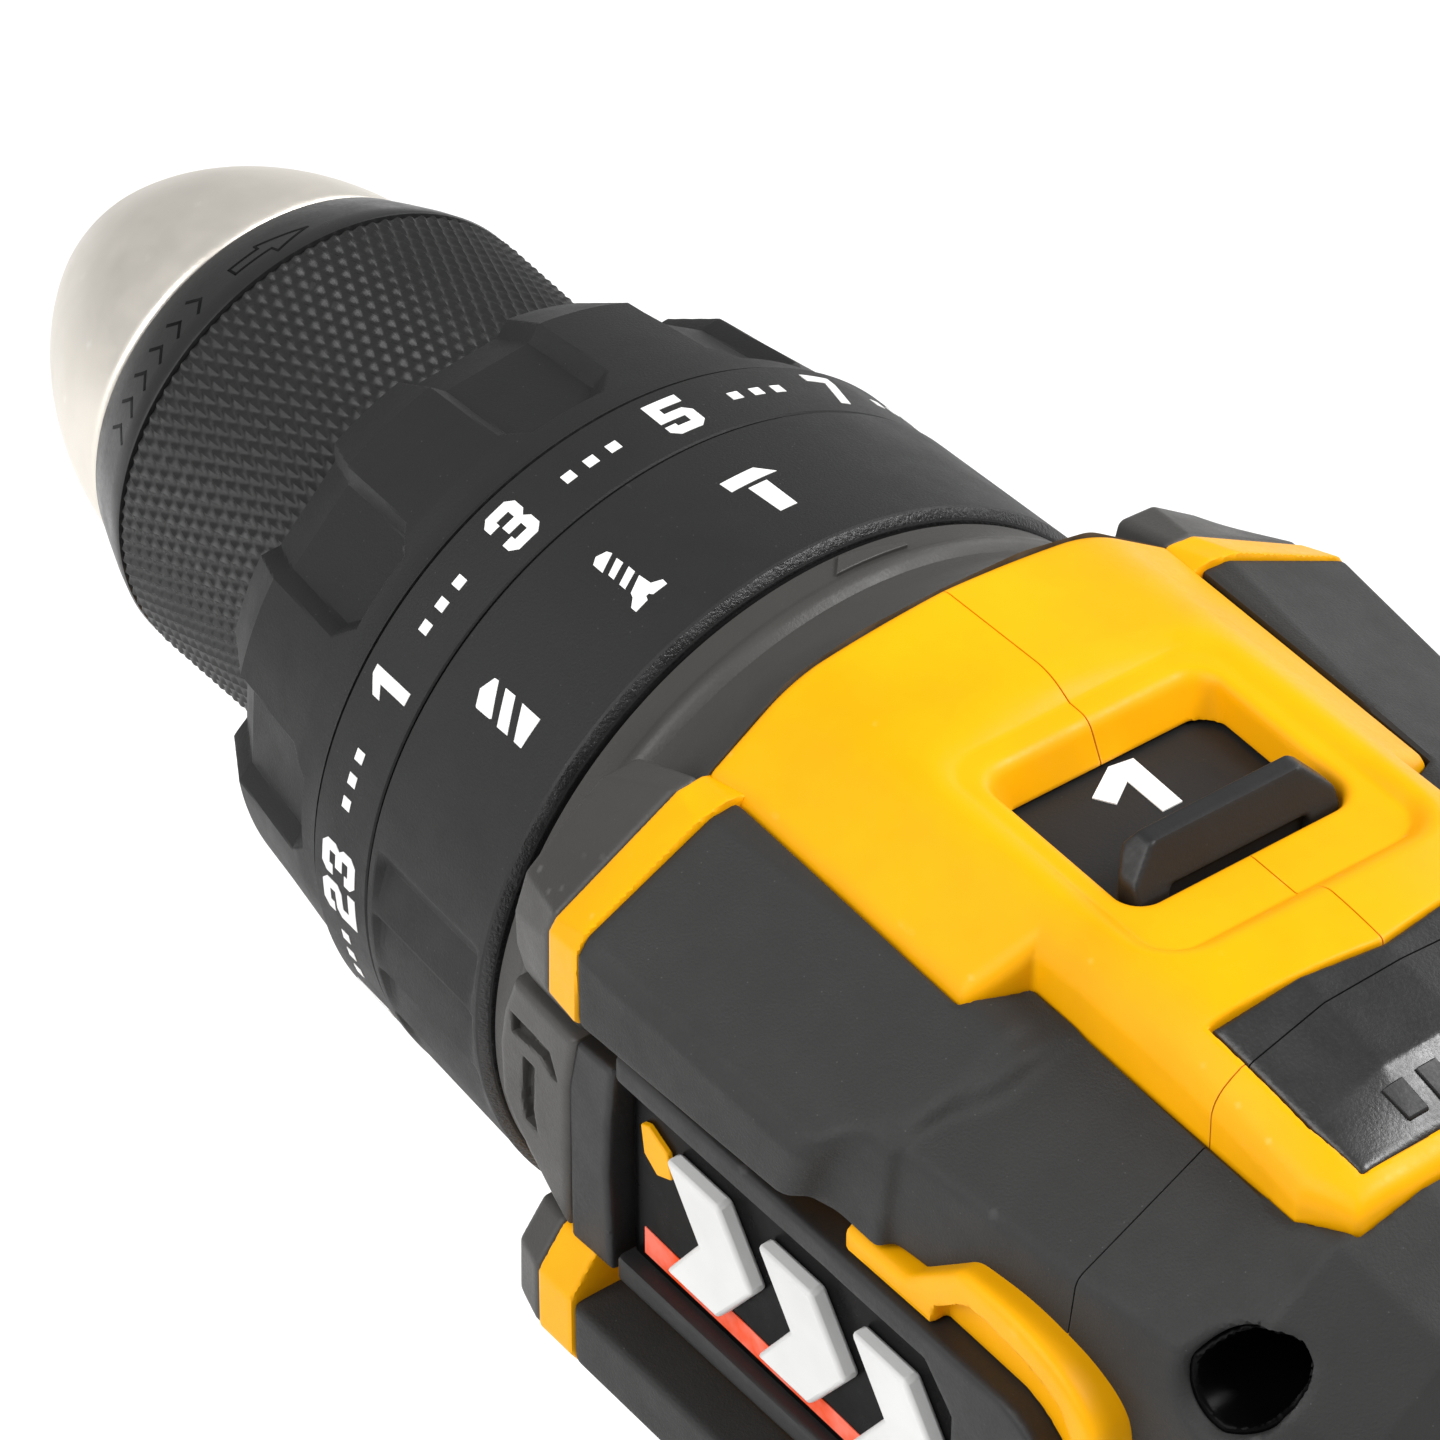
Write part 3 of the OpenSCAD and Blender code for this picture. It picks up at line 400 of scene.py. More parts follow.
def finish_of(name, color, rough, grain, depth, edge=0.12, spread=0.07, metallic=0.0, specks=0.0,
              coat=0.0, stretch=None, coarse=None, specular=0.5, uneven=0.1):
    """A procedural finish: fine grain, uneven gloss, slightly uneven colour, worn edges and specks"""
    mat = bpy.data.materials.new(name)
    mat.use_nodes = True
    tree = mat.node_tree
    bsdf = tree.nodes["Principled BSDF"]
    for key, value in (("Metallic", metallic), ("Coat Weight", coat), ("Coat Roughness", 0.12),
                       ("Specular IOR Level", specular)):
        bsdf.inputs[key].default_value = value
    vec = add(tree, "TexCoord", "Object", {})
    fine_vec = add(tree, "Mapping", "Vector", {"Vector": vec, "Scale": stretch}) if stretch else vec
    fine = noise(tree, fine_vec, grain)
    wide = noise(tree, vec, WIDE, 4.0)
    mid = noise(tree, vec, MID)
    dark, light = [c * (1 - uneven) for c in color], [min(c * (1 + 0.8 * uneven), 1) for c in color]
    tone = mixed(tree, ramp(tree, wide, 0.3, 0.7, 0, 1), dark, light)
    # Edges are worn in patches, not evenly
    raised = ramp(tree, add(tree, "NewGeometry", "Pointiness", {}), 0.55, 0.66, 0, 1)
    patchy = add(tree, "Math", 0, {0: raised, 1: ramp(tree, mid, 0.40, 0.62, 0.1, 1)},
                 operation="MULTIPLY")
    tone = mixed(tree, patchy, tone, [c + (1 - c) * edge for c in light])
    if specks:
        dots = add(tree, "TexVoronoi", "Distance", {"Vector": vec, "Scale": SPECK_SCALE})
        tone = mixed(tree, ramp(tree, dots, 0.03, 0.07, specks, 0), tone,
                     [min(c + 0.35, 1) for c in color])
    gloss = {0: ramp(tree, mid, 0.25, 0.75, rough - spread, rough + spread),
             1: ramp(tree, fine, 0.3, 0.7, -0.04, 0.04)}
    normal = add(tree, "Bump", "Normal", {"Height": fine, "Distance": depth, "Strength": 1.0})
    if coarse:
        normal = add(tree, "Bump", "Normal", {"Height": noise(tree, vec, coarse[0], 2.0),
                                              "Distance": coarse[1], "Normal": normal})
    for key, value in (("Base Color", tone), ("Normal", normal),
                       ("Roughness", add(tree, "Math", 0, gloss, operation="ADD"))):
        tree.links.new(value, bsdf.inputs[key])
    return mat


YELLOW = finish_of("moulded_yellow", (0.86, 0.385, 0.0), 0.42, 0.0005, 6e-6, 0.05,
                   coarse=(0.006, 2e-5), specular=0.16)
RUBBER = finish_of("grained_rubber", (0.021, 0.021, 0.0205), 0.62, 0.00022, 6e-5, 0.03, specks=0.12,
                   specular=0.34, uneven=0.18)
CASE = finish_of("satin_case", (0.045, 0.043, 0.040), 0.48, 0.00025, 3e-5, 0.05, specks=0.05,
                 specular=0.42)
DARK = finish_of("matt_black", (0.012, 0.012, 0.0122), 0.5, 0.0003, 2e-5, 0.04, specks=0.06,
                 specular=0.38)
RING = finish_of("ring_black", (0.013, 0.013, 0.013), 0.56, 0.00022, 3.5e-5, 0.03, specks=0.10,
                 specular=0.34)
SPARKLE = finish_of("sparkle_edge", (0.010, 0.010, 0.010), 0.34, 0.0003, 0.00012, 0.03, specular=0.45)
SLOPE = finish_of("fine_grained_black", (0.013, 0.013, 0.013), 0.37, 0.0003, 3e-5, 0.03, specular=0.6)
GLOSS = finish_of("gloss_black", (0.0015, 0.0015, 0.0016), 0.3, 0.0015, 6e-6, 0.01, spread=0.04,
                  specular=0.05)
KNURLED = finish_of("knurled_steel", (0.022, 0.022, 0.022), 0.34, 0.0004, 1e-5, 0.02, metallic=0.35)
BLACKENED = finish_of("blackened_steel", (0.045, 0.046, 0.048), 0.42, 0.0003, 8e-6, 0.25,
                      metallic=0.6, stretch=(6, 1, 1))
NICKEL = finish_of("satin_nickel", (0.78, 0.735, 0.665), 0.44, 0.0004, 8e-6, 0.2, metallic=0.75,
                   stretch=(5, 1, 1))
STEEL = finish_of("machined_steel", (0.42, 0.42, 0.43), 0.3, 0.0004, 8e-6, 0.3, metallic=1.0)
SINTERED = finish_of("sintered_steel", (0.20, 0.20, 0.21), 0.5, 0.0004, 2e-5, 0.2, metallic=0.9)
BRASS = finish_of("turned_brass", (0.72, 0.48, 0.2), 0.3, 0.0004, 8e-6, 0.2, metallic=1.0)
LAMINATE = finish_of("laminated_iron", (0.12, 0.13, 0.16), 0.45, 0.0003, 3e-5, 0.2, metallic=0.8,
                     stretch=(12, 1, 1))
COPPER = finish_of("enamelled_copper", (0.65, 0.22, 0.06), 0.3, 0.0006, 0.00012, 0.1, metallic=0.7,
                   stretch=(1, 1, 6))
BOARD = finish_of("circuit_board", (0.01, 0.12, 0.045), 0.35, 0.0008, 2e-5)
RED = finish_of("wire_sleeve", (0.5, 0.02, 0.01), 0.4, 0.0005, 1e-5)
CELL = finish_of("cell_wrap", (0.03, 0.12, 0.4), 0.35, 0.0008, 1e-5)
WHITE = finish_of("white_print", (0.83, 0.83, 0.82), 0.5, 0.0004, 1e-5, 0.0)
MARK = finish_of("raised_white", (0.66, 0.66, 0.65), 0.4, 0.0006, 1e-5, 0.1)
ORANGE = finish_of("orange_stripe", (0.80, 0.065, 0.002), 0.5, 0.0004, 1e-5, specular=0.1)
LENS = finish_of("clear_lens", (0.62, 0.66, 0.68), 0.12, 0.0008, 2e-5, coat=0.6)

SLOT_MATS = {"abs_yellow": YELLOW, "rubber": RUBBER, "dark_plastic": DARK, "case_grey": CASE,
             "badge_black": GLOSS, "chuck_black": BLACKENED, "chuck_steel": NICKEL, "steel": STEEL,
             "sintered": SINTERED, "brass": BRASS, "laminate": LAMINATE, "copper": COPPER,
             "board": BOARD, "lens": LENS, "wire_red": RED, "cell_blue": CELL}
# The slot that each finish belongs to
SLOT_OF = {mat.name: slot for slot, mat in SLOT_MATS.items()}
SLOT_OF.update({mat.name: "dark_plastic" for mat in (RING, SPARKLE, GLOSS, WHITE)})
for part in frame["record"]["subparts"]:
    ob, mat = frame["nodes"][part["node"]], SLOT_MATS[part["material_slot"]]
    if not ob.material_slots:
        ob.data.materials.append(mat)
    for used in ob.material_slots:
        used.material = mat


# ---- body forms ----

def ccw(points):
    return list(points)[::-1]


REAR_AT = (-60, -83, -97, -106, -110.8)
REAR = [ccw(p) for p in (
    [(-12, 31.5), (9, 31.5), (17, 31.5), (31.4, 25.2), (31.8, 20), (31, -14), (27, -24), (20, -30),
     (-12, -33)],
    [(-12, 31.4), (9, 31.4), (17.3, 31.2), (28.7, 24.9), (29.3, 19.8), (29, -14), (24, -24), (17, -29),
     (-12, -31)],
    [(-12, 33.9), (9, 33.6), (16.6, 31.6), (26.2, 24), (27.4, 18), (27.3, -14), (21, -24), (15, -28),
     (-12, -29.5)],
    [(-12, 28), (8, 27.7), (13.4, 26.4), (21, 19.5), (23, 13), (23, -12), (17, -20), (12, -23.5),
     (-12, -25)],
    [(-12, 20.5), (6, 20.3), (9.4, 19), (15.5, 13.5), (17.5, 8), (17.5, -8), (12, -15), (8, -17.5),
     (-12, -18.5)])]
MIDDLE = ccw([(-12, 31), (21, 31), (31.4, 25), (32.4, 16), (32.4, -12), (30, -20), (20, -30.5),
              (-12, -33)])


def rear_body(a, y, z, d=0.0, r=1.5):
    pts = loft(a - 0.9 * d, REAR_AT, [inset(o, r + d) for o in REAR])
    return smax(poly(np.abs(y), z, pts, r), both(-(111.0 - d) - a, a + 60), 4.0)


def front_body(a, y, z, d=0.0):
    return smax(poly(np.abs(y), z, inset(MIDDLE, 1.5 + d), 1.5), slab(a, -66 + d, -31 - d), 0.6)


def handle(a, y, z, g=0.0):
    t = (z + 30) / 82
    swell = np.exp(-((z + 66) / 24) ** 2)
    w = 16.2 + g + 0.7 * swell
    d = rect(a, np.abs(y), (-77 + 8 * t - g - 1.6 * swell, -w), (-34 + 11 * t + g, w), 9.5 + g)
    return smax(d, slab(z, -118, -20), 2.0)


def foot(a, y, z, g=0.0):
    p = np.abs(y)
    d = block(a, p, z, (-104 - g, -40, -133.6), (-13 + g, 36 + g, -108), 5.0)
    side = (11 * (p - 36 - g) + 9 * (z + 121)) / 14.2
    back = (-11 * (a + 104 + g) + 8 * (z + 121)) / 13.6
    front = (11 * (a + 13 - g) + 12 * (z + 121)) / 16.3
    return smax(smax(smax(d, side, 4.0), back, 4.0), front, 4.0)


def shell_outside(a, y, z, d=0.0):
    body = smin(rear_body(a, y, z, 1.3 + d), front_body(a, y, z, 1.3 + d), 1.0)
    return smin(smin(body, handle(a, y, z, -d), 7.0), foot(a, y, z, -d), 8.0)


PITS = [(-96.8, 22.8, 3.75, 15), (-99.1, -23.6, 3.6, 14), (-73, -47, 3.4, 10), (-75, -96, 3.4, 10)]


def screw_pit(a, y, z, at_a, at_z, r, seat):
    """A round pit from the side, down to the seat of a screw's head"""
    return both(np.hypot(a - at_a, z - at_z) - r, seat - np.abs(y))


def shell_core(a, y, z):
    """The shell without its openings, with room for the rubber that lines the screw pits"""
    d = shell_outside(a, y, z)
    for at_a, at_z, r, seat in PITS:
        d = both(d, -screw_pit(a, y, z, at_a, at_z, r + 1.2, seat - 0.8))
    return d


# ---- top cover and rear insert ----

COVER_PLAN = [(-31, -3), (-31, 21.7), (-61.4, 21.8), (-63.8, 16.9), (-93, 16.9), (-97.2, 14.8),
              (-97.2, -3)]
INSERT_PLAN = [(-81.75, -3), (-81.7, 0), (-79.6, 14), (-90, 13.6), (-95, 12.8), (-95.1, -3)]
SEAM = -83.6


def crown(a, y, z):
    c0 = curve(a, (-31, 38.1), (-43, 38.7), (-62, 39.7), (-79, 40.2), (-84, 39.6), (-90, 38.4),
               (-95, 35.9), (-97.5, 34.6))
    c1 = curve(a, (-31, 36.6), (-45, 37.6), (-62, 38.2), (-79, 38.3), (-90, 36.4), (-95, 35.2),
               (-97.5, 34.3))
    lip = curve(a, (-31, 31.3), (-61, 31.2), (-70, 31.2), (-98, 30.8))
    d0 = z - (c0 - 0.03 * y)
    d1 = (z - (c0 - 0.25 - (c0 - 0.25 - c1) / 6.6 * (y - 7.4))) * 0.98
    s = (c1 - lip) / 7.7
    d2 = (z - (c1 - s * (y - 14))) * 0.79
    return smax(smax(d0, d1, 1.2), d2, 1.2)


def insert_top(a, y, z):
    b = np.maximum(a, -90.0)
    m = either(40.0 + 0.19 * (b + 81) - 0.05 * y, 39.65 + 0.19 * (b + 81) - 0.33 * (y - 7))
    m90 = either(38.29 - 0.05 * y, 37.94 - 0.33 * (y - 7))
    return z - (m + np.minimum(a + 90, 0) / 5 * (m90 - 34.9 + 0.03 * y))


def cover(a, y, z):
    y = np.abs(y)
    top = crown(a, y, z)
    band = 0.55 + 0.5 * np.clip((-64 - a) / 8, 0, 1)
    tray = z - (37.4 + band * np.maximum(rect(a, y, (-72.3, -12.0), (-46.4, 12.0), 3.0), 0))
    top = smax(top, tray * 0.88, 0.9)
    d = smax(poly(a, y, inset(COVER_PLAN, 0.8), 0.8), top, 1.3)
    up = np.maximum(z - 34.4, -1)
    window = rect(a, y, (-66.35 - 0.12 * up, -10.0 - 0.1 * up), (-50.1 + 0.5 * up, 10.0 + 0.1 * up), 2.2)
    d = cut(d, window, 0.9)
    d = both(d, 28.8 - z)
    d = cut(d, both(z - 34.0, y - 12.6, slab(a, -80, -32.6)), 0.1)
    pocket = both(poly(a, y, INSERT_PLAN, 0.06), -2.4 - insert_top(a, y, z))
    return cut(d, pocket, 0.4)


def insert(a, y, z):
    y = np.abs(y)
    d = smax(poly(a, y, inset(INSERT_PLAN, 0.06), 0.0), insert_top(a, y, z) * 0.93, 0.6)
    return both(d, -2.3 - insert_top(a, y, z))


CENTRE = ((0, 0, 0), (0, 1, 0), None)
pair("top_cover", cover, (-98, 0, 28), (-30, 23, 42), 0.27, YELLOW,
     splits=(CENTRE, ((SEAM, 0, 0), (1, 0, 0))))
solid("top_insert", insert, (-96, -15, 31), (-79, 15, 42), 0.3, SLOPE, "housing", "case_grey",
      replaces=("rear_insert",), splits=(((SEAM, 0, 0), (1, 0, 0)),))


def on_insert(u, v, w):
    """Marks on the insert's rear slope: u across it and v along the axis"""
    m90 = min(38.29 - 0.05 * abs(u), 37.94 - 0.33 * (abs(u) - 7))
    return (v, u, m90 + (v + 90) / 5 * (m90 - 34.9 + 0.03 * abs(u)) + w)


# ---- rubber grip ----

SHOULDER = [ccw(p) for p in (
    [(15, 18), (15, 31.3), (24.2, 31.5), (35.5, 25.8), (36.5, 24.3), (36.5, 17.4), (33, 16.6), (30, 15)],
    [(15, 18), (15, 30.9), (21.5, 30.6), (34.0, 23.6), (35.0, 22.0), (35.0, 17.2), (32.2, 16.4),
     (30, 15)])]
LEDGE = ccw([(22, -8), (33.5, -9), (36, -12.6), (36, -18.4), (31, -26), (21, -31), (17, -26)])


def rubber_outside(a, y, z):
    p = np.abs(y)
    shoulder = smax(poly(p, z, loft(a, (-35, -66), [inset(o, 0.9) for o in SHOULDER]), 0.9),
                    slab(a, -68.5, -35.0), 1.0)
    back = (-(a + 65.2) + 0.525 * (p - 27) - 0.3 * (z - 24)) / 1.17
    shoulder = smax(shoulder, back, 1.2)
    lower = smax(poly(p, z, inset(LEDGE, 1.0), 1.0), slab(a, -77, -33.0), 1.4)
    lower = smax(lower, (-(a + 72) + 0.6 * (p - 31) - 0.4 * (z + 20)) / 1.2, 5.0)
    base = smax(poly(p, z, inset(MIDDLE, 1.5), 1.5), slab(a, -66, -35.0), 0.8)
    return smin(smin(smin(rear_body(a, y, z), base, 1.0), shoulder, 1.6), lower, 3.0)


def grip_outside(a, y, z):
    """Rubber round the handle, with ribs down both flanks and the back"""
    ribs = comb(z + 44, 5.2)
    line = -60 + 9.5 * (z + 30) / 82
    p = np.abs(y)
    side = np.clip((line - a) / 3, 0, 1) * np.clip((a + 83) / 4, 0, 1)
    depth = (0.8 * np.clip((0.9 - ribs) / 0.6, 0, 1) * side * np.clip((-41 - z) / 2, 0, 1)
             * np.clip((z + 102) / 2, 0, 1))
    return handle(a, y, z, 1.9) + depth * np.clip((p - 8) / 3, 0, 1)


def vents(d, a, y, z, first, width, low, high, r, k):
    """A shape with the five vents of the rear flank cut through it"""
    for i in range(5):
        at = first + i * 3.4
        plan = block(a, z, z * 0, (at, low, -1), (at + width, high, 1), r)
        d = cut(d, both(plan, 20 - np.abs(y)), k)
    return d


def rubber(a, y, z):
    p = np.abs(y)
    upper = rubber_outside(a, y, z)
    grip = grip_outside(a, y, z)
    # The front of the handle, round the trigger, is left open in a raked line
    edge = (a + 56.5 - 9.5 * (z + 30) / 82) + 4.5 * np.clip((z + 60) / 30, 0, 1) ** 2
    grip = smax(smax(grip, edge, 1.6), slab(z, -106, -24), 1.6)
    d = smin(upper, grip, 6.0)
    d = both(d, 0.04 - shell_core(a, y, z))
    above = both(poly(a, p, COVER_PLAN, 0.12), 28.7 - z)
    d = cut(d, above, 0.4)
    d = cut(d, badge_room(a, y, z, 0.1), 0.5)
    for pit in PITS:
        d = cut(d, screw_pit(a, y, z, *pit), 1.0)
    return vents(d, a, y, z, -101.2, 1.9, -16, -2, 0.9, 0.4)


def badge_room(a, y, z, g=0.0):
    """The space beside the body that the badge island and its yellow band take up"""
    plan = rect(a, z, (-90.4 - g, -13.0 - g), (-20, 16.0 + g), 9.0)
    return both(plan, 28.5 - np.abs(y))


def pit_liner(a, y, z):
    """The dark tube that lines the upper screw pit, a little short of the rubber's surface: the housing's dark
    boss, made near-black to paint the shade deep in the pit
    """
    far = np.hypot(a - PITS[0][0], z - PITS[0][1])
    return smax(smax(np.abs(far - 3.6) - 0.4, rubber_outside(a, y, z) + 1.2, 0.2), 15.2 - y, 0.2)


# The pit's liner is near-black gloss: painted shade for the inside of the upper screw pit
pair("pit_liner", pit_liner, (-101, 15, 18), (-92, 32, 27), 0.25, GLOSS)


# ---- badge island ----

def band_plan(a, z):
    wide = rect(a, z, (-90.0, -12.6), (-20, 15.7), 9.0)
    step = rect(a, z, (-90.0, -2.0), (-60.0, 20.7), 5.0)
    step = smax(step, (a + 68.8) * 0.64 + (z - 15.7) * 0.77, 0.6)
    step = smax(step, (-0.5 * (a + 83.6) + 0.866 * (z - 20.7)), 3.0)
    return smin(wide, step, 0.6)


def island_plan(a, z, d=0.0):
    d0 = rect(a, z, (-87.2 + d, -10.0 + d), (-20, 13.2 - d), 7.0 - d)
    return both(d0, a + 35.6 + d)


def yellow_band(a, y, z):
    p = np.abs(y)
    d = smax(band_plan(a, z), both(p - 32.4 - 0.02 * (a + 62), 27.5 - p), 0.9)
    d = smax(d, a + 62.0, 0.6)
    d = cut(d, smax(smax(band_plan(a, z) + 2.5, a + 72.0, 0.6), 30.7 - p, 0.2), 0.3)
    return cut(d, both(island_plan(a, z, -0.12), 27 - p), 0.3)


def island(a, y, z):
    p = np.abs(y)
    face = 33.7 + 0.012 * (a + 35) - 0.0016 * (z - 2) ** 2
    d = smax(island_plan(a, z), p - face, 0.7)
    d = smax(d, 28.2 - p, 0.3)
    recess = smax(rect(a, z, (-75.6, -7.4), (-30, 10.8), 1.0), (z - 7.6 - (a + 75.6)) * 0.7071, 0.3)
    d = cut(d, both(recess, 31.6 - p), 0.35)
    slot = rect(a, z, (-84.2, -4.2), (-79.8, 7.2), 2.0)
    return cut(d, both(slot, 32.4 - p), 0.4)


def badge_floor(a, y, z):
    p = np.abs(y)
    return both(rect(a, z, (-76.5, -8.2), (-35.7, 11.6), 1.0), slab(p, 31.0, 31.9))


pair("badge_band", yellow_band, (-91, 27, -14), (-35, 33.4, 22), 0.4, YELLOW)
pair("badge_frame", island, (-88, 28, -11), (-34, 34.4, 14), 0.36, DARK)
floors = pair("badge_floor", badge_floor, (-79, 30.5, -8), (-36, 32.5, 11), 0.4, GLOSS, "housing",
              "badge_black")
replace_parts(floors[0], "badge_plates")


def prism(name, outlines, low, high, put, mat, body="housing", bevel=0.0, pitch=1.0,
          mirrored=False):
    """Raised marks: flat outlines made into prisms from low to high, then laid on a surface by put"""
    bm = bmesh.new()
    for pts in outlines:
        bm.faces.new([bm.verts.new((u, v, 0)) for u, v in pts])
    bm.normal_update()
    bmesh.ops.triangulate(bm, faces=bm.faces[:])
    us = [v.co.x for v in bm.verts]
    for k in range(math.floor(min(us) / pitch), math.ceil(max(us) / pitch) + 1):
        bmesh.ops.bisect_plane(bm, geom=bm.verts[:] + bm.edges[:] + bm.faces[:], dist=1e-6,
                               plane_co=(k * pitch, 0, 0), plane_no=(1, 0, 0))
    res = bmesh.ops.extrude_face_region(bm, geom=bm.faces[:])
    raised = {g for g in res["geom"] if isinstance(g, bmesh.types.BMVert)}
    for v in bm.verts:
        v.co.z = high if v in raised else low
    for v in bm.verts:
        v.co = (Vector(put(*v.co)) + ORIGIN) * MM
    bmesh.ops.recalc_face_normals(bm, faces=bm.faces[:])
    me = bpy.data.meshes.new(name)
    bm.to_mesh(me)
    bm.free()
    ob = place(name + ("_left" if mirrored else ""), me, mat, body)
    if bevel:
        mod = ob.modifiers.new("edge", "BEVEL")
        mod.width, mod.segments, mod.limit_method = bevel * MM, 2, "ANGLE"
    if mirrored:
        mirror_copy(ob, name + "_right")


def on_flank(u, v, w):
    """Badge marks: u runs backwards along the flank and v upwards"""
    return (-36.3 - u, w + 31.9, v)


bars = [[(x + u, v) for u, v in ((4.0, 1.4), (0, 7.1), (6.4, 7.1), (10.6, 1.4), (6.4, -4.3), (0, -4.3))]
        for x in (5.4, 5.4 + 11.2, 5.4 + 2 * 11.2)]
prism("badge_chevrons", bars, -0.1, 1.5, on_flank, MARK, "housing", bevel=0.35, pitch=60,
      mirrored=True)
prism("badge_stripe", [[(1.0, -6.7), (38.2, -6.7), (38.2, -5.1), (1.0, -4.0)]], -0.1, 0.08, on_flank,
      ORANGE, "housing", pitch=60, mirrored=True)
prism("insert_bars", [[(u - 0.9, -93.6), (u + 0.9, -93.6), (u + 1.5, -91.2), (u - 0.3, -91.2)]
                      for u in (-8.5, -5.5, -2.5, 0.5, 3.5, 6.5)], -0.2, 0.3, on_insert, DARK, "housing",
      bevel=0.12, pitch=1.2)
prism("badge_lozenge", [[(1.1, 6.9), (2.0, 7.3), (4.4, 6.2), (4.9, 3.9), (3.1, 3.1), (1.5, 4.2)]], -0.1,
      0.5, on_flank, YELLOW, "housing", bevel=0.15, pitch=60, mirrored=True)


# ---- gear case ----

def gear_barrel(a, y, z):
    """The barrel round the gears, the drum and the nose tube ahead of it"""
    r, p = np.hypot(y, z), np.abs(y)

    def tube(lo, hi, size):
        return both(slab(a, lo, hi), r - size)

    d = either(tube(-62, -19.6, 26.4), tube(-19.7, -1.2, 27.45), tube(-19.7, 23.4, 18.9))
    arm = np.hypot(a + 43.2, z - 9)
    d = either(d, both(arm - 2.4, slab(p, 23.8, 26.7)), both(arm - 1.2, slab(p, 23.8, 28.7)))
    for lo, hi, size in ((-63, -24, 24.45), (-25, 30, 8.1), (-17, -9, 10.5), (-10, 14.1, 12.4),
                         (14, 30, 14.0)):
        d = both(d, -tube(lo, hi, size))
    d = both(d, -both(tube(-18.1, 0, 25.95), 18.9 - r))
    for i in range(6):
        t = math.radians(30 + 60 * i)
        hole = np.hypot(z - 21.4 * math.cos(t), y - 21.4 * math.sin(t)) - 1.65
        d = both(d, -both(hole, slab(a, -25, -17)))
    return both(d, -both(np.abs(a + 43.2) - 4.4, 18 - p, slab(z, -1.6, 1.4)))


solid("gear_barrel", gear_barrel, (-62.5, -29, -28), (24, 29, 28), 0.6, CASE,
      replaces=("gear_case",), smooth=30)


# The clutch's spring, a closed coil drawn at one length; the real spring shortens as the torque collar screws its
# nut back
turn = np.linspace(0, 5, 241)
at_a = np.interp(turn, [0, 1, 4, 5], [-12.7, -10.1, 0.2, 2.8])
round_wire = np.radians(np.arange(16) * 22.5)
t, w = np.meshgrid(turn * 2 * math.pi, round_wire, indexing="ij")
far = 22.3 + 1.2 * np.cos(w)
verts = np.stack([at_a[:, None] + 1.2 * np.sin(w), far * np.cos(t), far * np.sin(t)], -1).reshape(-1, 3)
i, j = np.meshgrid(np.arange(240), np.arange(16), indexing="ij")
j2 = (j + 1) % 16
faces = np.stack([i * 16 + j, i * 16 + 16 + j, i * 16 + 16 + j2, i * 16 + j2], -1).reshape(-1, 4)
coil = make("clutch_coil", verts, faces, SLOT_MATS["steel"], "housing", ("clutch_spring",))
bm = bmesh.new()
bm.from_mesh(coil.data)
bmesh.ops.holes_fill(bm, edges=bm.edges, sides=16)
bmesh.ops.recalc_face_normals(bm, faces=bm.faces)
bm.to_mesh(coil.data)
bm.free()
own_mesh(coil)


# ---- bumpers, stripes and front ring ----

STRIPE_AT = (-31, -35)
STRIPE = [ccw(p) for p in (
    [(16, 18), (16, 29.5), (21.95, 31.1), (24.1, 30.9), (35.25, 24.4), (35.9, 23.4), (36.0, 17.3),
     (32.5, 15.6)],
    [(16, 18), (16, 30.5), (22.6, 32.0), (25.4, 31.3), (35.5, 25.8), (36.4, 24.3), (36.6, 17.6),
     (32.8, 15.6)])]
BUMPER = [ccw(p) for p in (
    [(19, 15), (22.6, 28.6), (26, 28.4), (29.7, 25.7), (33, 22.8), (34.1, 19.4), (34, 16.4),
     (33.4, 13.5), (31.1, 8.7), (25, 8)],
    [(19, 15), (21.95, 31.1), (24.1, 30.9), (29.8, 27.6), (35.1, 24.6), (35.9, 22.4), (36, 17.3),
     (34.4, 14.6), (32.2, 10.5), (25, 8)])]
LOW_BUMPER = [ccw([(23, -10), (32.6, -9.6), (34.9, -12.8), (35, -17.8), (30.6, -25), (21.5, -29.6),
                   (17, -24)]),
              ccw([(22, -8.6), (33.5, -9), (36, -12.6), (36, -18.4), (31, -26), (21, -31), (17, -26)])]


def bumper(outlines, front, back):
    """A bumper between two places on the axis, clear of the collars"""
    def field(a, y, z):
        p = np.abs(y)
        d = poly(p, z, loft(a, (front, back), [inset(o, 0.8) for o in outlines]), 0.8)
        return cut(smax(d, slab(a, back, front), 0.8), np.hypot(p, z) - 32.0, 0.4)
    return field


def stripe(a, y, z):
    p = np.abs(y)
    d = poly(p, z, loft(a, STRIPE_AT, [inset(o, 0.6) for o in STRIPE]), 0.6)
    return smax(d, slab(a, -35.2, -31.0), 0.25)


def low_stripe(a, y, z):
    p = np.abs(y)
    return smax(poly(p, z, inset(LOW_BUMPER[1], 1.0), 1.0), slab(a, -33.2, -29.0), 0.25)


pair("shoulder_bumper", bumper(BUMPER, -24.0, -31.0), (-31, 18, 7), (-23.5, 37, 32), 0.3, CASE)
pair("shoulder_stripe", stripe, (-36, 15, 15), (-30.5, 37.4, 33), 0.3, YELLOW)
pair("lower_bumper", bumper(LOW_BUMPER, -25.0, -29.0), (-30, 16, -32), (-24.5, 36.6, -8), 0.34, CASE)
pair("lower_stripe", low_stripe, (-34, 16, -32), (-28.5, 36.6, -8), 0.34, YELLOW)


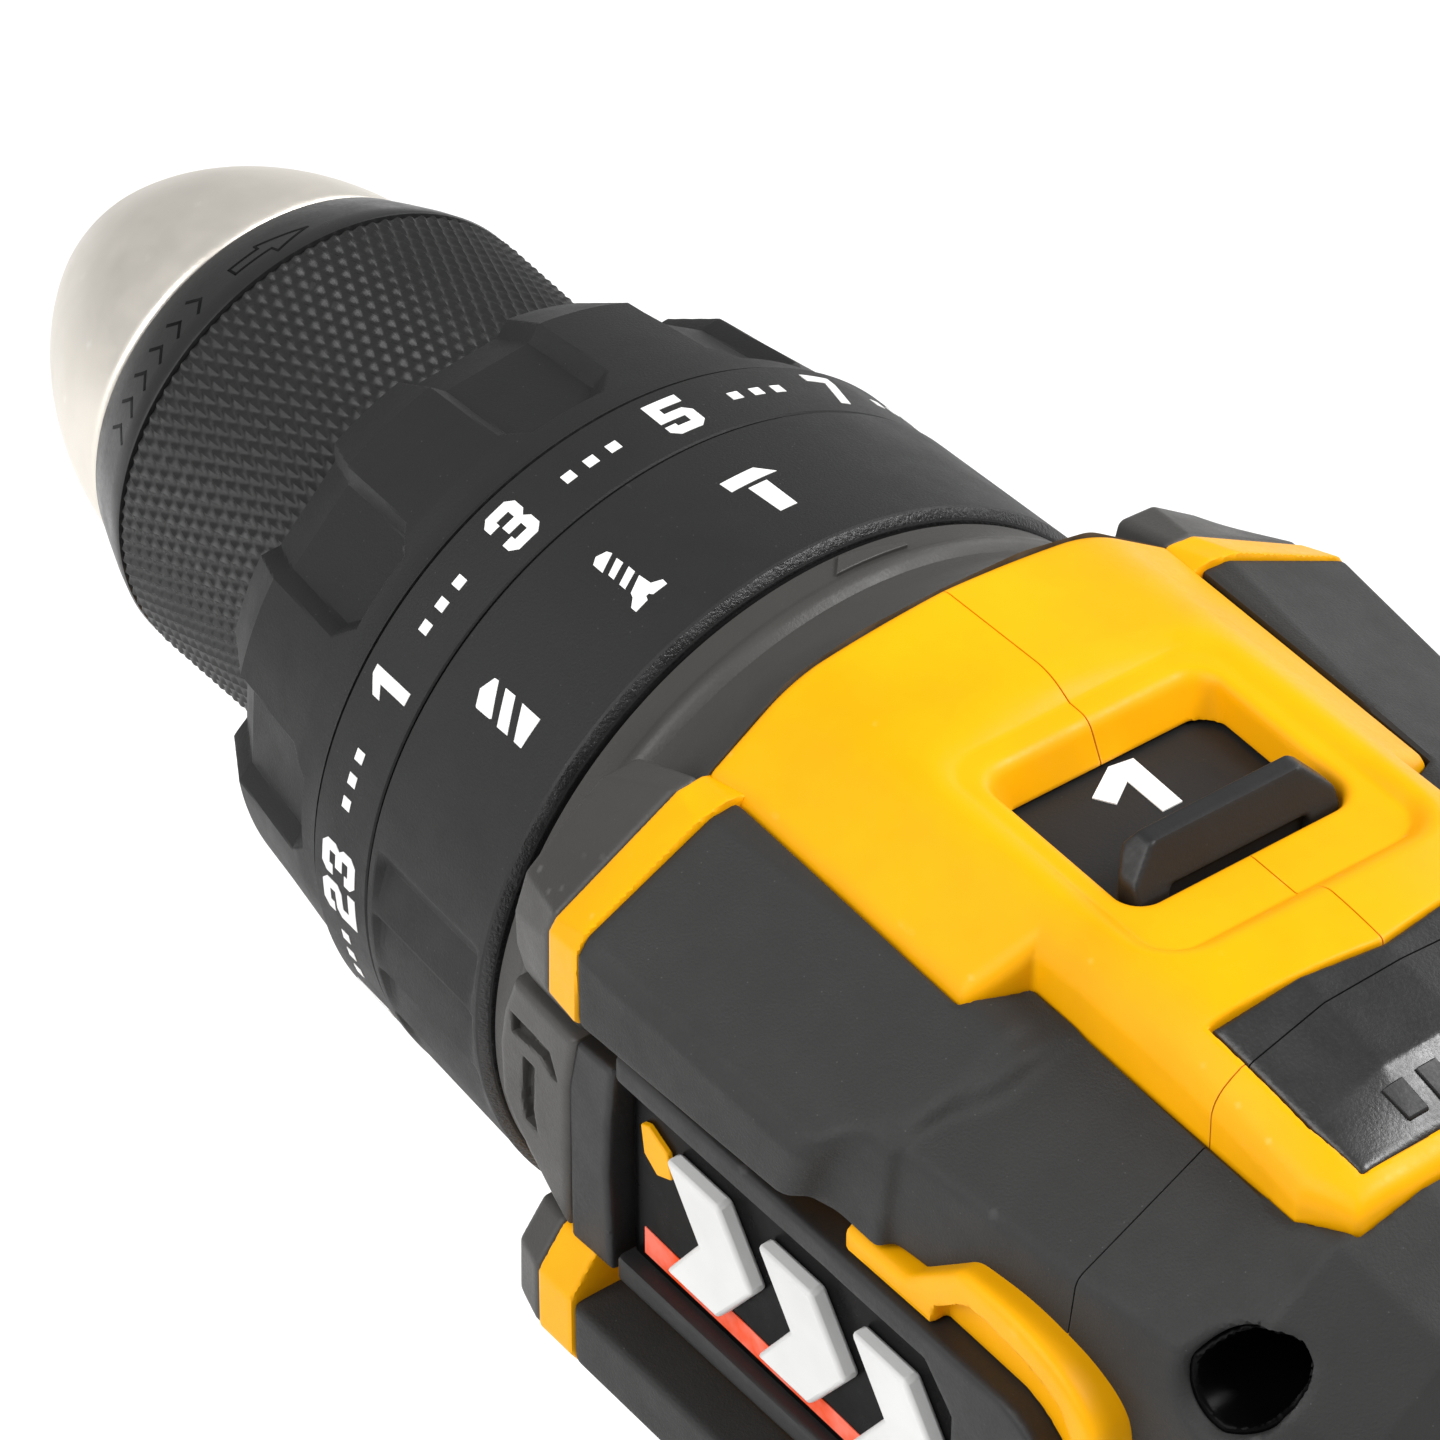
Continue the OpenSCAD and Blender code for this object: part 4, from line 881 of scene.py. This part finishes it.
EAR = [(-29.6, -9.6), (-22.9, -3.2), (-21.2, -1.3), (-20.9, 3.6), (-21.6, 7.5), (-23.2, 11.7),
       (-31.4, 11.4), (-30.4, 6.0), (-30.2, -3.0)]
EAR_HOOK = [(-22.75, 8.1), (-28.1, 8.05), (-29.1, 5.7), (-28.4, 5.5), (-26.7, 6.6), (-22.85, 6.1)]
EAR_BAR = [(-24.4, 4.8), (-26.0, 4.7), (-25.75, 0.3), (-26.2, -1.8), (-24.5, -1.6), (-24.1, 0.2)]


def ear(a, y, z):
    p = np.abs(y)
    face = 34.0 - 0.012 * np.maximum(a + 31, 0) ** 1.6 - 0.006 * np.maximum(-z, 0) ** 2
    d = smax(smax(poly(a, z, EAR), p - face, 0.8), 28.0 - p, 0.2)
    for mark in (EAR_HOOK, EAR_BAR):
        d = cut(d, both(poly(a, z, mark, -0.05), face - 0.9 - p), 0.2)
    return d


def ear_strip(a, y, z):
    p = np.abs(y)
    plan = poly(a, z, [(-30.2, -9.4), (-30.1, 6.0), (-31.2, 11.2), (-35.6, 11.4), (-34.9, 5.0),
                       (-34.7, 0.0), (-35.1, -9.4)])
    return smax(smax(plan, p - 33.7 - 0.03 * (a + 31), 0.5), 28.0 - p, 0.2)


pair("ear_tab", ear, (-32, 27.5, -10), (-20, 35, 13), 0.24, CASE)
pair("ear_strip", ear_strip, (-36, 27.5, -10), (-29.5, 35, 12), 0.3, DARK)

NECK = [(0, 38.0), (7.4, 37.8), (14, 36.5), (21.7, 31.0), (27, 26), (31.6, 14), (32, 0), (31.4, -11),
        (28, -20), (20, -29), (0, -32.6)]


def reach(points, count=720):
    """Distance from the axis to a half outline, at even angles round the axis from +Y towards +Z"""
    al = np.radians(np.arange(count) * 360 / count)
    dy, dz = np.abs(np.cos(al)), np.sin(al)
    out = np.zeros(count)
    for (y0, z0), (y1, z1) in zip(points, points[1:]):
        ey, ez = y1 - y0, z1 - z0
        det = dy * ez - dz * ey
        det = np.where(np.abs(det) < 1e-9, 1e-9, det)
        r = (y0 * ez - z0 * ey) / det
        t = (y0 * dz - z0 * dy) / det
        ok = (r > 0) & (t >= -1e-3) & (t <= 1.001)
        out = np.where(ok, np.maximum(out, r), out)
    for _ in range(6):
        out = (np.roll(out, 1) + out * 2 + np.roll(out, -1)) / 4
    return out


neck = reach(NECK)
rows = [(-31.2, 27.5), (-19.0, 27.5), (-16.92, 28.6), (-16.92, 30.8), (-17.15, 31.15), (-19.3, 31.4),
        (-19.8, 31.6), (-20.3, 32.0), (-20.8, 32.1), (-21.3, 31.9), (-21.8, 31.5)]
for i in range(12):
    t = (i + 1) / 12
    rows.append((-21.8 - 9.4 * t, 31.4 + (neck - 31.4) * (0.35 * t + 0.65 * t * t)))
ringed("front_ring", rows, CASE)


# ---- speed selector ----

RIDGE = [(-66.0, 33.5), (-60.9, 33.5), (-61.7, 38.4), (-62.6, 40.2), (-64.2, 40.2), (-66.0, 36.6)]


def selector(a, y, z):
    p = np.abs(y)
    plate = block(a, p, z, (-77, -20, 32.0), (-44.4, 12.0, 33.6), 0.3)
    ridge = smax(poly(a, z, inset(RIDGE, 0.25), 0.25), p - 9.3, 0.3)
    ridge = smax(ridge, ((p - 9.3) + (z - 37.8)) * 0.7071, 0.3)
    ridge = smax(ridge, ((p - 9.3) + (a + 63.6)) * 0.7071, 0.3)
    hollow = both(rect(p, z, (-20, 34.9), (6.4, 36.9), 0.6), a + 65.35)
    return cut(smin(plate, ridge, 0.7), hollow, 0.3)


solid("selector_slider", selector, (-77.5, -12.4, 31.6), (-44, 12.4, 40.6), 0.26, DARK, "selector",
      replaces=("speed_selector",))
mark = [(-52.3, 2.5), (-53.9, 1.5), (-52.4, -0.7), (-56.5, -0.7), (-56.5, -2.5), (-50.7, -2.6),
        (-50.35, -0.55)]
prism("selector_mark", [mark], -0.1, 0.12, lambda u, v, w: (u, v, 33.6 + w), WHITE, "selector",
      pitch=60)


# ---- collars ----

GLYPHS = {
    "1": [(1.2, 0), (2.4, 0), (2.4, 5), (1.5, 5), (0, 3.9), (0, 2.9), (1.2, 3.6)],
    "3": [(0.7, 5), (2.9, 5), (3.6, 4.3), (3.6, 3.1), (3.1, 2.5), (3.6, 1.9), (3.6, 0.7), (2.9, 0),
          (0.7, 0), (0, 0.7), (0, 1.6), (1.1, 1.6), (1.1, 1.1), (2.5, 1.1), (2.5, 2), (1.1, 2), (1.1, 3),
          (2.5, 3), (2.5, 3.9), (1.1, 3.9), (1.1, 3.4), (0, 3.4), (0, 4.3)],
    "5": [(0, 5), (3.5, 5), (3.5, 3.9), (1.1, 3.9), (1.1, 3.1), (2.9, 3.1), (3.6, 2.4), (3.6, 0.7),
          (2.9, 0), (0.7, 0), (0, 0.7), (0, 1.5), (1.1, 1.5), (1.1, 1.1), (2.5, 1.1), (2.5, 2.05),
          (0, 2.05)],
    "7": [(0, 5), (3.6, 5), (3.6, 3.9), (2, 0), (0.8, 0), (2.3, 3.9), (0, 3.9)],
    "2": [(0.7, 5), (2.9, 5), (3.6, 4.3), (3.6, 2.7), (2.9, 2.1), (1.2, 2), (1.2, 1.1), (3.6, 1.1),
          (3.6, 0), (0, 0), (0, 2.4), (0.7, 3), (2.5, 3.1), (2.5, 3.9), (1.1, 3.9), (1.1, 3.4), (0, 3.4),
          (0, 4.3)]}
# The 9 is a 6 turned over
GLYPHS["9"] = [(3.6 - u, 5 - v) for u, v in (
    (0.7, 5), (3.3, 5), (3.3, 3.9), (1.2, 3.9), (1.2, 3.1), (2.9, 3.1), (3.6, 2.4), (3.6, 0.7), (2.9, 0),
    (0.7, 0), (0, 0.7), (0, 4.3))]

TORQUE = ((0.15, 31.0), (7.35, 30.75), (7.42, 30.2), (7.75, 30.2), (7.82, 30.45), (8.6, 29.8),
          (10.0, 29.6), (12, 29.5), (18, 28.6), (22.2, 28.05), (27, 25.3))


def profile(points):
    """The radius at a place along the axis, from (place, radius) points"""
    places, radii = zip(*points)
    return lambda a: np.interp(a, places, radii)


torque_r = profile(TORQUE)

STEPS = 960
TURN = np.arange(STEPS) * 360 / STEPS
rows = [(0.15, 27.6), (0.15, 30.85)]
stations = [0.28, 2, 4, 6, 7.3, 7.42, 7.75, 7.82, 8.2, 8.6, 9.2, 10.0, 10.4]
stations += list(np.arange(10.8, 14.2, 0.22)) + list(np.arange(14.4, 22.1, 0.7))
stations += [22.2, 22.5, 23.2, 24, 24.8, 25.6, 26.4, 27.0]
for s in stations:
    off = np.mod(TURN - 83.2 + 20, 40) - 20
    r0 = float(torque_r(s))
    arc = np.radians(off) * r0
    scoop = poly(np.full_like(arc, s), arc, [(10.9, -3.4), (13.0, -5.35), (60, -5.35), (60, 5.35),
                                             (13.0, 5.35), (10.9, 3.4)])
    depth = np.clip(r0 - (r0 - 1.8) / np.cos(np.radians(off)), 0, None)
    fine = 0.25 * (np.mod(np.arange(STEPS), 6) > 2) if 7.4 <= s <= 7.76 else 0
    rows.append((s, r0 - depth * np.clip(-scoop / 1.05, 0, 1) - fine))
rows += [(27.0, 19.2), (21.2, 19.2), (21.2, 25.2), (2.0, 25.2)]
ringed("torque_dial", rows, RING, "torque", replaces=("torque_collar",), smooth=16, angles=TURN)


def on_collar(radius):
    def put(u, v, w):
        al, r = u / DIAL_R, float(radius(v)) + w
        return (v, r * math.cos(al), r * math.sin(al))
    return put


def digits(text, centre, base=1.66, scale=0.9):
    """Outlines of a number centred at an angle, reading round the collar"""
    width = 4.3 * scale * (len(text) - 1) + 3.6 * scale
    start = math.radians(centre) * DIAL_R - width / 2
    if text == "1":
        start += 0.55
    return [[(start + (4.3 * i + u) * scale, base + v * scale) for u, v in GLYPHS[c]]
            for i, c in enumerate(text)]


marks = []
for i in range(12):
    at = 33.6 + 29.7 * i
    marks += digits(str(1 + 2 * i), at)
    for k in (-1, 0, 1):
        u = math.radians(at - 14.9 + 4.0 * k) * DIAL_R
        marks.append([(u - 0.5, 3.4), (u + 0.5, 3.4), (u + 0.5, 4.4), (u - 0.5, 4.4)])
prism("torque_numbers", marks, -0.08, 0.05, on_collar(torque_r), WHITE, "torque")

MODE = ((-16.6, 30.9), (-16.4, 31.3), (-15.9, 31.8), (-15.6, 31.9), (-0.9, 31.2), (-0.35, 31.17),
        (-0.15, 31.0))
mode_r = profile(MODE)


def rib_depth(turn):
    """Grip facets on the lower flanks, as depth below the collar's surface"""
    out = np.zeros_like(turn)
    edges = [13.2, 2.0] + [-8.8 - 10.35 * k for k in range(15)]
    for hi, lo in zip(edges, edges[1:]):
        drop, steep = (1.1, 3.2) if hi > 10 else (0.85, 1.3)
        inside = (turn <= hi) & (turn > lo)
        out = np.where(inside, np.interp(turn, [lo, hi - steep, hi], [0.04, drop, 0.0]), out)
    return out


around = np.mod(TURN + 193, 360) - 193
around = np.where(around > 167, around - 360, around)
ribs = rib_depth(around)
rows = [(-16.6, 27.6), (-16.6, 30.3)]
for s in [-16.5, -16.4, -15.9, -15.6, -15.3] + list(np.arange(-15.0, -0.9, 0.45)) + [-0.9, -0.35, -0.15]:
    fade = min(max(min(s + 15.1, -1.0 - s) / 0.7, 0), 1)
    rows.append((s, mode_r(s) - ribs * fade))
rows.append((-0.12, 27.6))
ringed("mode_dial", rows, RING, "mode", replaces=("mode_ring",), smooth=16, angles=TURN)
rows = [(-15.86, 31.86), (-16.38, 31.36), (-16.56, 30.9), (-16.4, 30.4), (-15.86, 31.1)]
ringed("mode_edge", rows, SPARKLE, "mode", angles=TURN)


ICONS = [
    # drill bit
    [(-4.93, 45.8), (-5.38, 45.9), (-6.92, 41.2), (-6.73, 41.0), (-5.02, 40.9), (-4.87, 41.1),
     (-4.28, 43.3)],
    [(-6.41, 45.8), (-7.63, 45.9), (-9.16, 41.0), (-7.83, 40.9)],
    [(-8.65, 45.8), (-11.03, 45.8), (-11.02, 41.0), (-10.07, 41.0)],
    # screw
    [(-4.63, 69.2), (-5.11, 69.5), (-5.96, 66.5), (-4.76, 66.5), (-4.32, 67.6)],
    [(-5.79, 69.4), (-6.54, 69.5), (-7.22, 66.8), (-6.54, 66.8)],
    [(-7.21, 69.6), (-8.0, 69.6), (-8.69, 66.8), (-7.97, 66.8)],
    [(-8.57, 69.6), (-9.91, 69.8), (-10.42, 71.3), (-11.01, 71.2), (-10.92, 68.8), (-10.6, 68.5),
     (-10.6, 68.0), (-11.0, 67.7), (-11.12, 65.4), (-10.5, 65.4), (-9.85, 66.6), (-9.39, 66.9)],
    # hammer
    [(-5.35, 88.1), (-5.22, 94.0), (-6.55, 96.3), (-6.6, 93.6), (-6.73, 88.3)],
    [(-7.15, 90.6), (-7.1, 93.8), (-10.85, 93.9), (-10.9, 91.0)]]
marks = [[(math.radians(t) * DIAL_R, v) for v, t in shape] for shape in ICONS]
prism("mode_icons", marks, -0.08, 0.05, on_collar(mode_r), WHITE, "mode")
prism("ring_pointer", [[(0.6, -19.3), (-1.0, -17.4), (-6.3, -18.7), (-6.3, -19.2)]], -0.6, 0.32,
      lambda u, v, w: (v, u, math.sqrt((31.15 - (v + 17.2) * 0.12 + w) ** 2 - u * u)), CASE, bevel=0.25,
      pitch=1.0)


# ---- chuck ----

COUNT, PITCH, FRONT = 105, 1.42, 48.3
ang = np.arange(COUNT * 6) * 360 / (COUNT * 6)


def tri(x):
    return 1 - np.abs(2 * np.mod(x, 1) - 1)


rows = [(28.5, 19.9), (28.5, 20.3), (28.7, 20.5)]
for i in range(int((FRONT - 29.0) / PITCH * 6) + 1):
    s = 29.0 + i * PITCH / 6
    fade = min(1, (s - 28.8) / 0.4, (FRONT + 0.1 - s) / 0.35)
    h = either(tri(COUNT * ang / 360 + s / PITCH / 2), tri(COUNT * ang / 360 - s / PITCH / 2))
    rows.append((s, 20.62 + 0.02 * (s - 29) + 0.42 * h * max(fade, 0)))
rows += [(48.5, 20.75), (48.6, 21.2), (48.9, 21.25), (50.6, 20.72), (53.2, 19.74), (55.5, 18.82),
         (55.8, 18.6), (55.9, 18.3), (55.9, 17.6), (50.6, 17.6), (50.4, 19.75)]
ringed("chuck_grip", rows, KNURLED, "sleeve", replaces=("chuck_sleeve",), angles=ang)
band_r = profile(((48.9, 21.25), (50.6, 20.72), (53.2, 19.74), (55.5, 18.82)))


def on_band(u, v, w):
    al, r = math.radians(u), float(band_r(v)) + w
    return (v, r * math.cos(al), r * math.sin(al))


def stroke(points, width):
    """A closed line of even width along a path of (angle, place) points"""
    k = 20.0 * math.pi / 180      # mm for each degree
    pts = [np.array((p[0] * k, p[1])) for p in points]
    out = []
    for p, q in zip(pts, pts[1:]):
        d = (q - p) / np.linalg.norm(q - p)
        n = np.array((-d[1], d[0])) * width / 2
        e = d * width / 2
        out.append([(c[0] / k, c[1]) for c in (p - e - n, q + e - n, q + e + n, p - e + n)])
    return out


arrow = [(69, 52.1), (77.3, 52.1), (77.5, 52.7), (89.5, 51.2), (79.5, 50.0), (79.2, 50.9), (69, 50.9),
         (69, 52.1)]
lines = stroke(arrow, 0.24)
for u in (57, 50, 43, 36, 29, 22):
    lines += stroke([(u, 50.6), (u + 2.6, 51.8), (u, 53.0)], 0.3)
prism("chuck_engraving", lines, -0.05, 0.03, on_band, GLOSS, "sleeve", pitch=1.5)


def nose(a, y, z):
    rr = np.hypot(y, z)
    arc = rr + 16 - np.sqrt(np.maximum(34.66 ** 2 - (a - 52) ** 2, 1))
    d = smax(arc, slab(a, 56.1, 77.0), 0.8)
    d = either(d, smax(rr - 19.6, slab(a, 28.6, 50.2), 0.4))
    d = either(d, both(rr - 12.3, slab(a, 50, 57)))
    d = cut(d, both(rr - 6.5, 53.2 - a), 0.6)
    for turn in (0, 120, 240):
        t = math.radians(turn)
        ry, rz = math.sin(t), -math.cos(t)
        c, s = math.cos(math.radians(15)), math.sin(math.radians(15))
        off = (y * ry + z * rz - 2.75) * c + (a - 80.5) * s
        d = cut(d, np.hypot(off, y * rz - z * ry) - 3.18, 0.35)
    return d


solid("chuck_nose", nose, (28, -20, -20), (77.4, 20, 20), 0.4, NICKEL, "chuck",
      replaces=("chuck_body",))


# ---- shells and rubber, from head to foot ----

def shell_inside(a, y, z):
    gear = both(np.hypot(y, z) - 26.6, slab(a, -66, -20))
    d = either(rear_body(a, y, z, 3.8), gear)
    d = either(d, both(handle(a, y, z, -2.8), slab(z, -112, -20)))
    return either(d, both(foot(a, y, z, -3.0), -119.2 - z, z + 113.4))


def shell(a, y, z):
    p = np.abs(y)
    d = cut(shell_core(a, y, z), shell_inside(a, y, z), 0.2)
    # Room for the trigger, the direction lever, the lamp, and the pack's tower and rails
    for lo, hi, r, k in (((-50, -20, -68.6), (0, 10.6, -43.0), 1.0, 0.8),
                         ((-50.4, -20, -40.4), (-39.6, 60, -33.6), 1.6, 0.5),
                         ((-21, -20, -119.6), (0, 6.2, -113.6), 1.0, 0.6),
                         ((-97, -20, -145), (20, 18.6, -121), 0.5, 0.5),
                         ((-97, -30, -128.4), (20, 22.6, -121), 0.5, 0.5)):
        d = cut(d, block(a, p, z, lo, hi, r), k)
    d = cut(d, badge_room(a, y, z, -0.2), 0.3)
    for at_a, at_z, seat in ((-27, -117, 18), (-95, -117, 18), (-37.5, -30.2, 10)):
        d = cut(d, screw_pit(a, y, z, at_a, at_z, 3.1, seat), 0.5)
    d = vents(d, a, y, z, -101.0, 1.5, -15.8, -2.2, 0.7, 0.2)
    # A fine step where the foot meets the pack
    return cut(d, both(slab(z, -130.6, -129.8), 0.6 - np.abs(foot(a, y, z))), 0.2)


pair("shell", shell, (-112, 0, -134.5), (-12, 37.5, 32), 0.78, YELLOW,
     replaces=("housing",), splits=(CENTRE,))
pair("grip_rubber", rubber, (-112, 0, -38), (-32, 38, 33), 0.42, RUBBER, replaces=("overmould",),
     splits=(CENTRE, ((0, 0, -36), (0, 0, 1), None), ((SEAM, 0, 0), (1, 0, 0))))
pair("handle_rubber", rubber, (-96, 0, -108), (-40, 20, -34), 0.6, RUBBER,
     splits=(CENTRE, ((0, 0, -36.1), (0, 0, -1), None)))


def foot_guard(a, y, z):
    """Rubber guards over the four lower corners of the foot"""
    p = np.abs(y)
    d = foot(a, y, z, 1.4)
    d = smax(d, slab(z, -133.0, -117.5), 1.2)
    d = smax(d, 23 - p, 0.5)
    d = smax(d, -slab(a, -90.5, -28), 1.2)
    d = cut(d, both(either(np.abs(z + 122), np.abs(z + 126.5)) - 0.5, 0.8 - foot(a, y, z)), 0.3)
    for at_a in (-27, -95):
        d = cut(d, screw_pit(a, y, z, at_a, -117, 4.2, 10), 0.5)
    return both(d, 0.04 - foot(a, y, z))


pair("foot_guard", foot_guard, (-106, 22, -134), (-11, 38, -116), 0.45, RUBBER)


LAMP_Z = -116.7


def lamp(a, y, z):
    """A domed lens on its base plate"""
    base = block(a, np.abs(y), z, (-20.6, -20, -118.8), (-18.6, 5.0, -114.6), 0.6)
    far = np.hypot(y, z - LAMP_Z)
    dome = smax(far - 2.4, np.hypot(a + 20.0, far) - 3.9, 0.3)
    return smin(base, both(dome, -20.4 - a), 0.3)


def lamp_bezel(a, y, z):
    far = np.hypot(y, z - LAMP_Z)
    plate = block(a, np.abs(y), z, (-18.6, -20, -119.1), (-17.9, 5.5, -114.3), 0.3)
    d = smin(plate, smax(far - 3.4, slab(a, -18.5, -17.0), 0.4), 0.5)
    return cut(d, both(far - 2.55, slab(a, -21, -15)), 0.2)


solid("lamp_lens", lamp, (-21, -6, -120), (-15, 6, -113.5), 0.2, LENS, replaces=("led_lens",))
solid("lamp_bezel", lamp_bezel, (-19.2, -6, -120), (-16.5, 6, -113), 0.2, DARK)


# ---- trigger, direction lever ----

def trigger(a, y, z):
    p = np.abs(y)
    d = block(a, p, z, (-40, -20, -67.6), (-20.4, 10.2, -43.6), 1.8)
    d = smax(d, 15.4 - np.hypot(a + 11, z + 55), 2.2)
    return cut(d, block(a, p, z, (-60, -20, -80), (-30.5, 9.0, -45.2), 0.5), 0.3)


def lever(a, y, z):
    p = np.abs(y)
    d = block(a, p, z, (-49.4, -30, -39.6), (-40.6, 20.2, -34.4), 1.5)
    groove = comb(a + 45, 1.8) - 0.35
    return cut(d, both(groove, 19.6 - p, np.abs(a + 45) - 3.2), 0.2)


solid("trigger_cap", trigger, (-41, -10.5, -68), (-20, 10.5, -43), 0.45, DARK, "trigger",
      replaces=("trigger",))
solid("direction_bar", lever, (-50, -20.5, -40), (-40, 20.5, -34), 0.35, DARK, "direction",
      replaces=("direction_lever",))


# ---- battery pack ----

def pack(a, y, z, d=0.0):
    p = np.abs(y)
    side = rect(a, p, (-116 + d, -60), (-4 - d, 37.5 - d), 9.0)
    wall = smax(side, slab(z, -179.85 + d, -134.1 - d), 3.5)
    # The ends lean in a little towards the foot
    lean = 0.05 * np.clip(z + 156, 0, 30)
    return both(wall, (np.abs(a + 60) - 56 + d + lean) * 0.998)


def pack_room(a, y, z):
    return block(a, np.abs(y), z, (-111.8, -60, -177.4), (-8.2, 34.1, -140), 2.0)


def pack_lower(a, y, z):
    p = np.abs(y)
    d = pack(a, y, z)
    ribs = comb(a + 60, 6) - 1.1
    field = both(ribs, np.abs(a + 60) - 40, slab(z, -173.5, -161.0))
    d = cut(d, both(field, 36.8 - p), 0.6)
    d = smax(d, z + 156.1, 0.4)
    for fa in (-106, -14):
        d = smin(d, both(np.hypot(a - fa, p - 28) - 4.5, slab(z, -180, -175)), 0.3)
    d = cut(d, both(either(np.hypot(a + 60, p - 29), np.hypot(np.abs(a + 60) - 47, p - 14)) - 2.6,
                    z + 177.6), 0.4)
    return cut(d, pack_room(a, y, z), 0.2)


def pack_upper(a, y, z):
    p = np.abs(y)
    d = smax(pack(a, y, z), -156.0 - z, 0.4)
    panel = rect(p, z, (-20, -151.5), (19, -139.5), 3.0)
    d = cut(d, both(panel, -4.9 - a), 0.5)
    d = cut(d, both(slab(z, -152, -150.6), slab(a, -100, -20), 36.9 - p), 0.3)
    tower = block(a, p, z, (-81.5, -20, -137), (-16, 18, -121.4), 0.8)
    rails = block(a, p, z, (-81.5, -30, -127.8), (-16, 22, -121.4), 0.8)
    wall = block(a, p, z, (-12.4, -30, -137), (-10, 20, -123), 0.6)
    cheek = block(a, p, z, (-12.4, 16.6, -137), (-5, 20, -123), 0.8)
    d = smin(d, either(tower, rails, wall, cheek), 0.6)
    for y0 in (-12, -6, 0, 6, 12):
        d = cut(d, both(np.abs(y - y0) - 1.0, slab(z, -133, -123), a + 72), 0.2)
    d = cut(d, block(a, p, z, (-10, -20, -139), (10, 16.6, -110), 0.5), 0.3)
    return cut(d, pack_room(a, y, z), 0.2)


def button(a, y, z):
    p = np.abs(y)
    d = block(a, p, z, (-9.6, -20, -134.6), (-5.2, 16.2, -123.4), 1.0)
    ribs = comb(z + 129, 2.4) - 0.55
    return cut(d, both(ribs, -6.0 - a, p - 12, np.abs(z + 129) - 3.8), 0.3)


solid("pack_tub", pack_lower, (-117, -38, -180.5), (-3, 38, -155.5), 0.75, DARK, "pack",
      replaces=("battery_lower_case",))
solid("pack_lid", pack_upper, (-117, -38, -156.5), (-3, 38, -121), 0.75, DARK, "pack",
      replaces=("battery_upper_case",))
solid("pack_button", button, (-10, -16.6, -135), (-4.8, 16.6, -123), 0.4, YELLOW, "button",
      replaces=("battery_button",))
gauge = [[(u - 1.6, -147.2), (u + 1.6, -147.2), (u + 1.6, -143.8), (u - 1.6, -143.8)]
         for u in (-9, -3, 3, 9)]
prism("pack_gauge", gauge, -0.3, 0.1, lambda u, v, w: (-4.95 + w, u, v), WHITE, "pack", pitch=60)


# ---- floor, light and camera ----

def area(name, at, to, size, power):
    light = bpy.data.lights.new(name, "AREA")
    light.shape, light.size, light.energy = "SQUARE", size, power
    ob = bpy.data.objects.new(name, light)
    ob.location = at
    ob.rotation_mode = "QUATERNION"
    ob.rotation_quaternion = (Vector(to) - Vector(at)).to_track_quat("-Z", "Y")
    bpy.context.scene.collection.objects.link(ob)


bpy.ops.mesh.primitive_plane_add(size=30, location=(0, 0, -0.0004))
ground = bpy.context.object
ground.name = "studio_floor"
ground.data.materials.append(finish_of("studio_paper", (0.9, 0.9, 0.9), 0.8, 0.01, 1e-5, 0.0,
                                       uneven=0.01))

world = bpy.data.worlds.new("studio")
bpy.context.scene.world = world
world.use_nodes = True
back = world.node_tree.nodes["Background"]
back.inputs["Color"].default_value = (1, 1, 1, 1)
back.inputs["Strength"].default_value = 0.38

for name, at, size, power in (("key", (0.05, 0.80, 0.95), 0.9, 10),
                              ("back", (-0.50, -0.55, 1.10), 0.4, 12),
                              ("right", (0.25, -1.05, 0.62), 0.8, 5),
                              ("left", (0.50, 1.05, 0.36), 0.7, 2)):
    area(name + "_light", at, (0.05, 0.0, 0.19), size, power)

view = bpy.data.cameras.new("photo_camera")
view.lens, view.sensor_width, view.sensor_fit = 226.63, 36.0, "HORIZONTAL"
view.clip_start, view.clip_end = 0.05, 50
eye = bpy.data.objects.new("photo_camera", view)
bpy.context.scene.collection.objects.link(eye)
right, up = Vector((-0.59925, -0.80056, -0.00082)), Vector((0.52495, -0.39371, 0.75460))
look = Vector((0.60443, -0.45176, -0.65619))
turn = Matrix((right, up, -look)).transposed()
eye.matrix_world = Matrix.Translation((-0.36994, 0.31839, 0.64869)) @ turn.to_4x4()
bpy.context.scene.camera = eye
bpy.context.scene.view_settings.view_transform = "Standard"
bpy.context.scene.view_settings.look = "None"
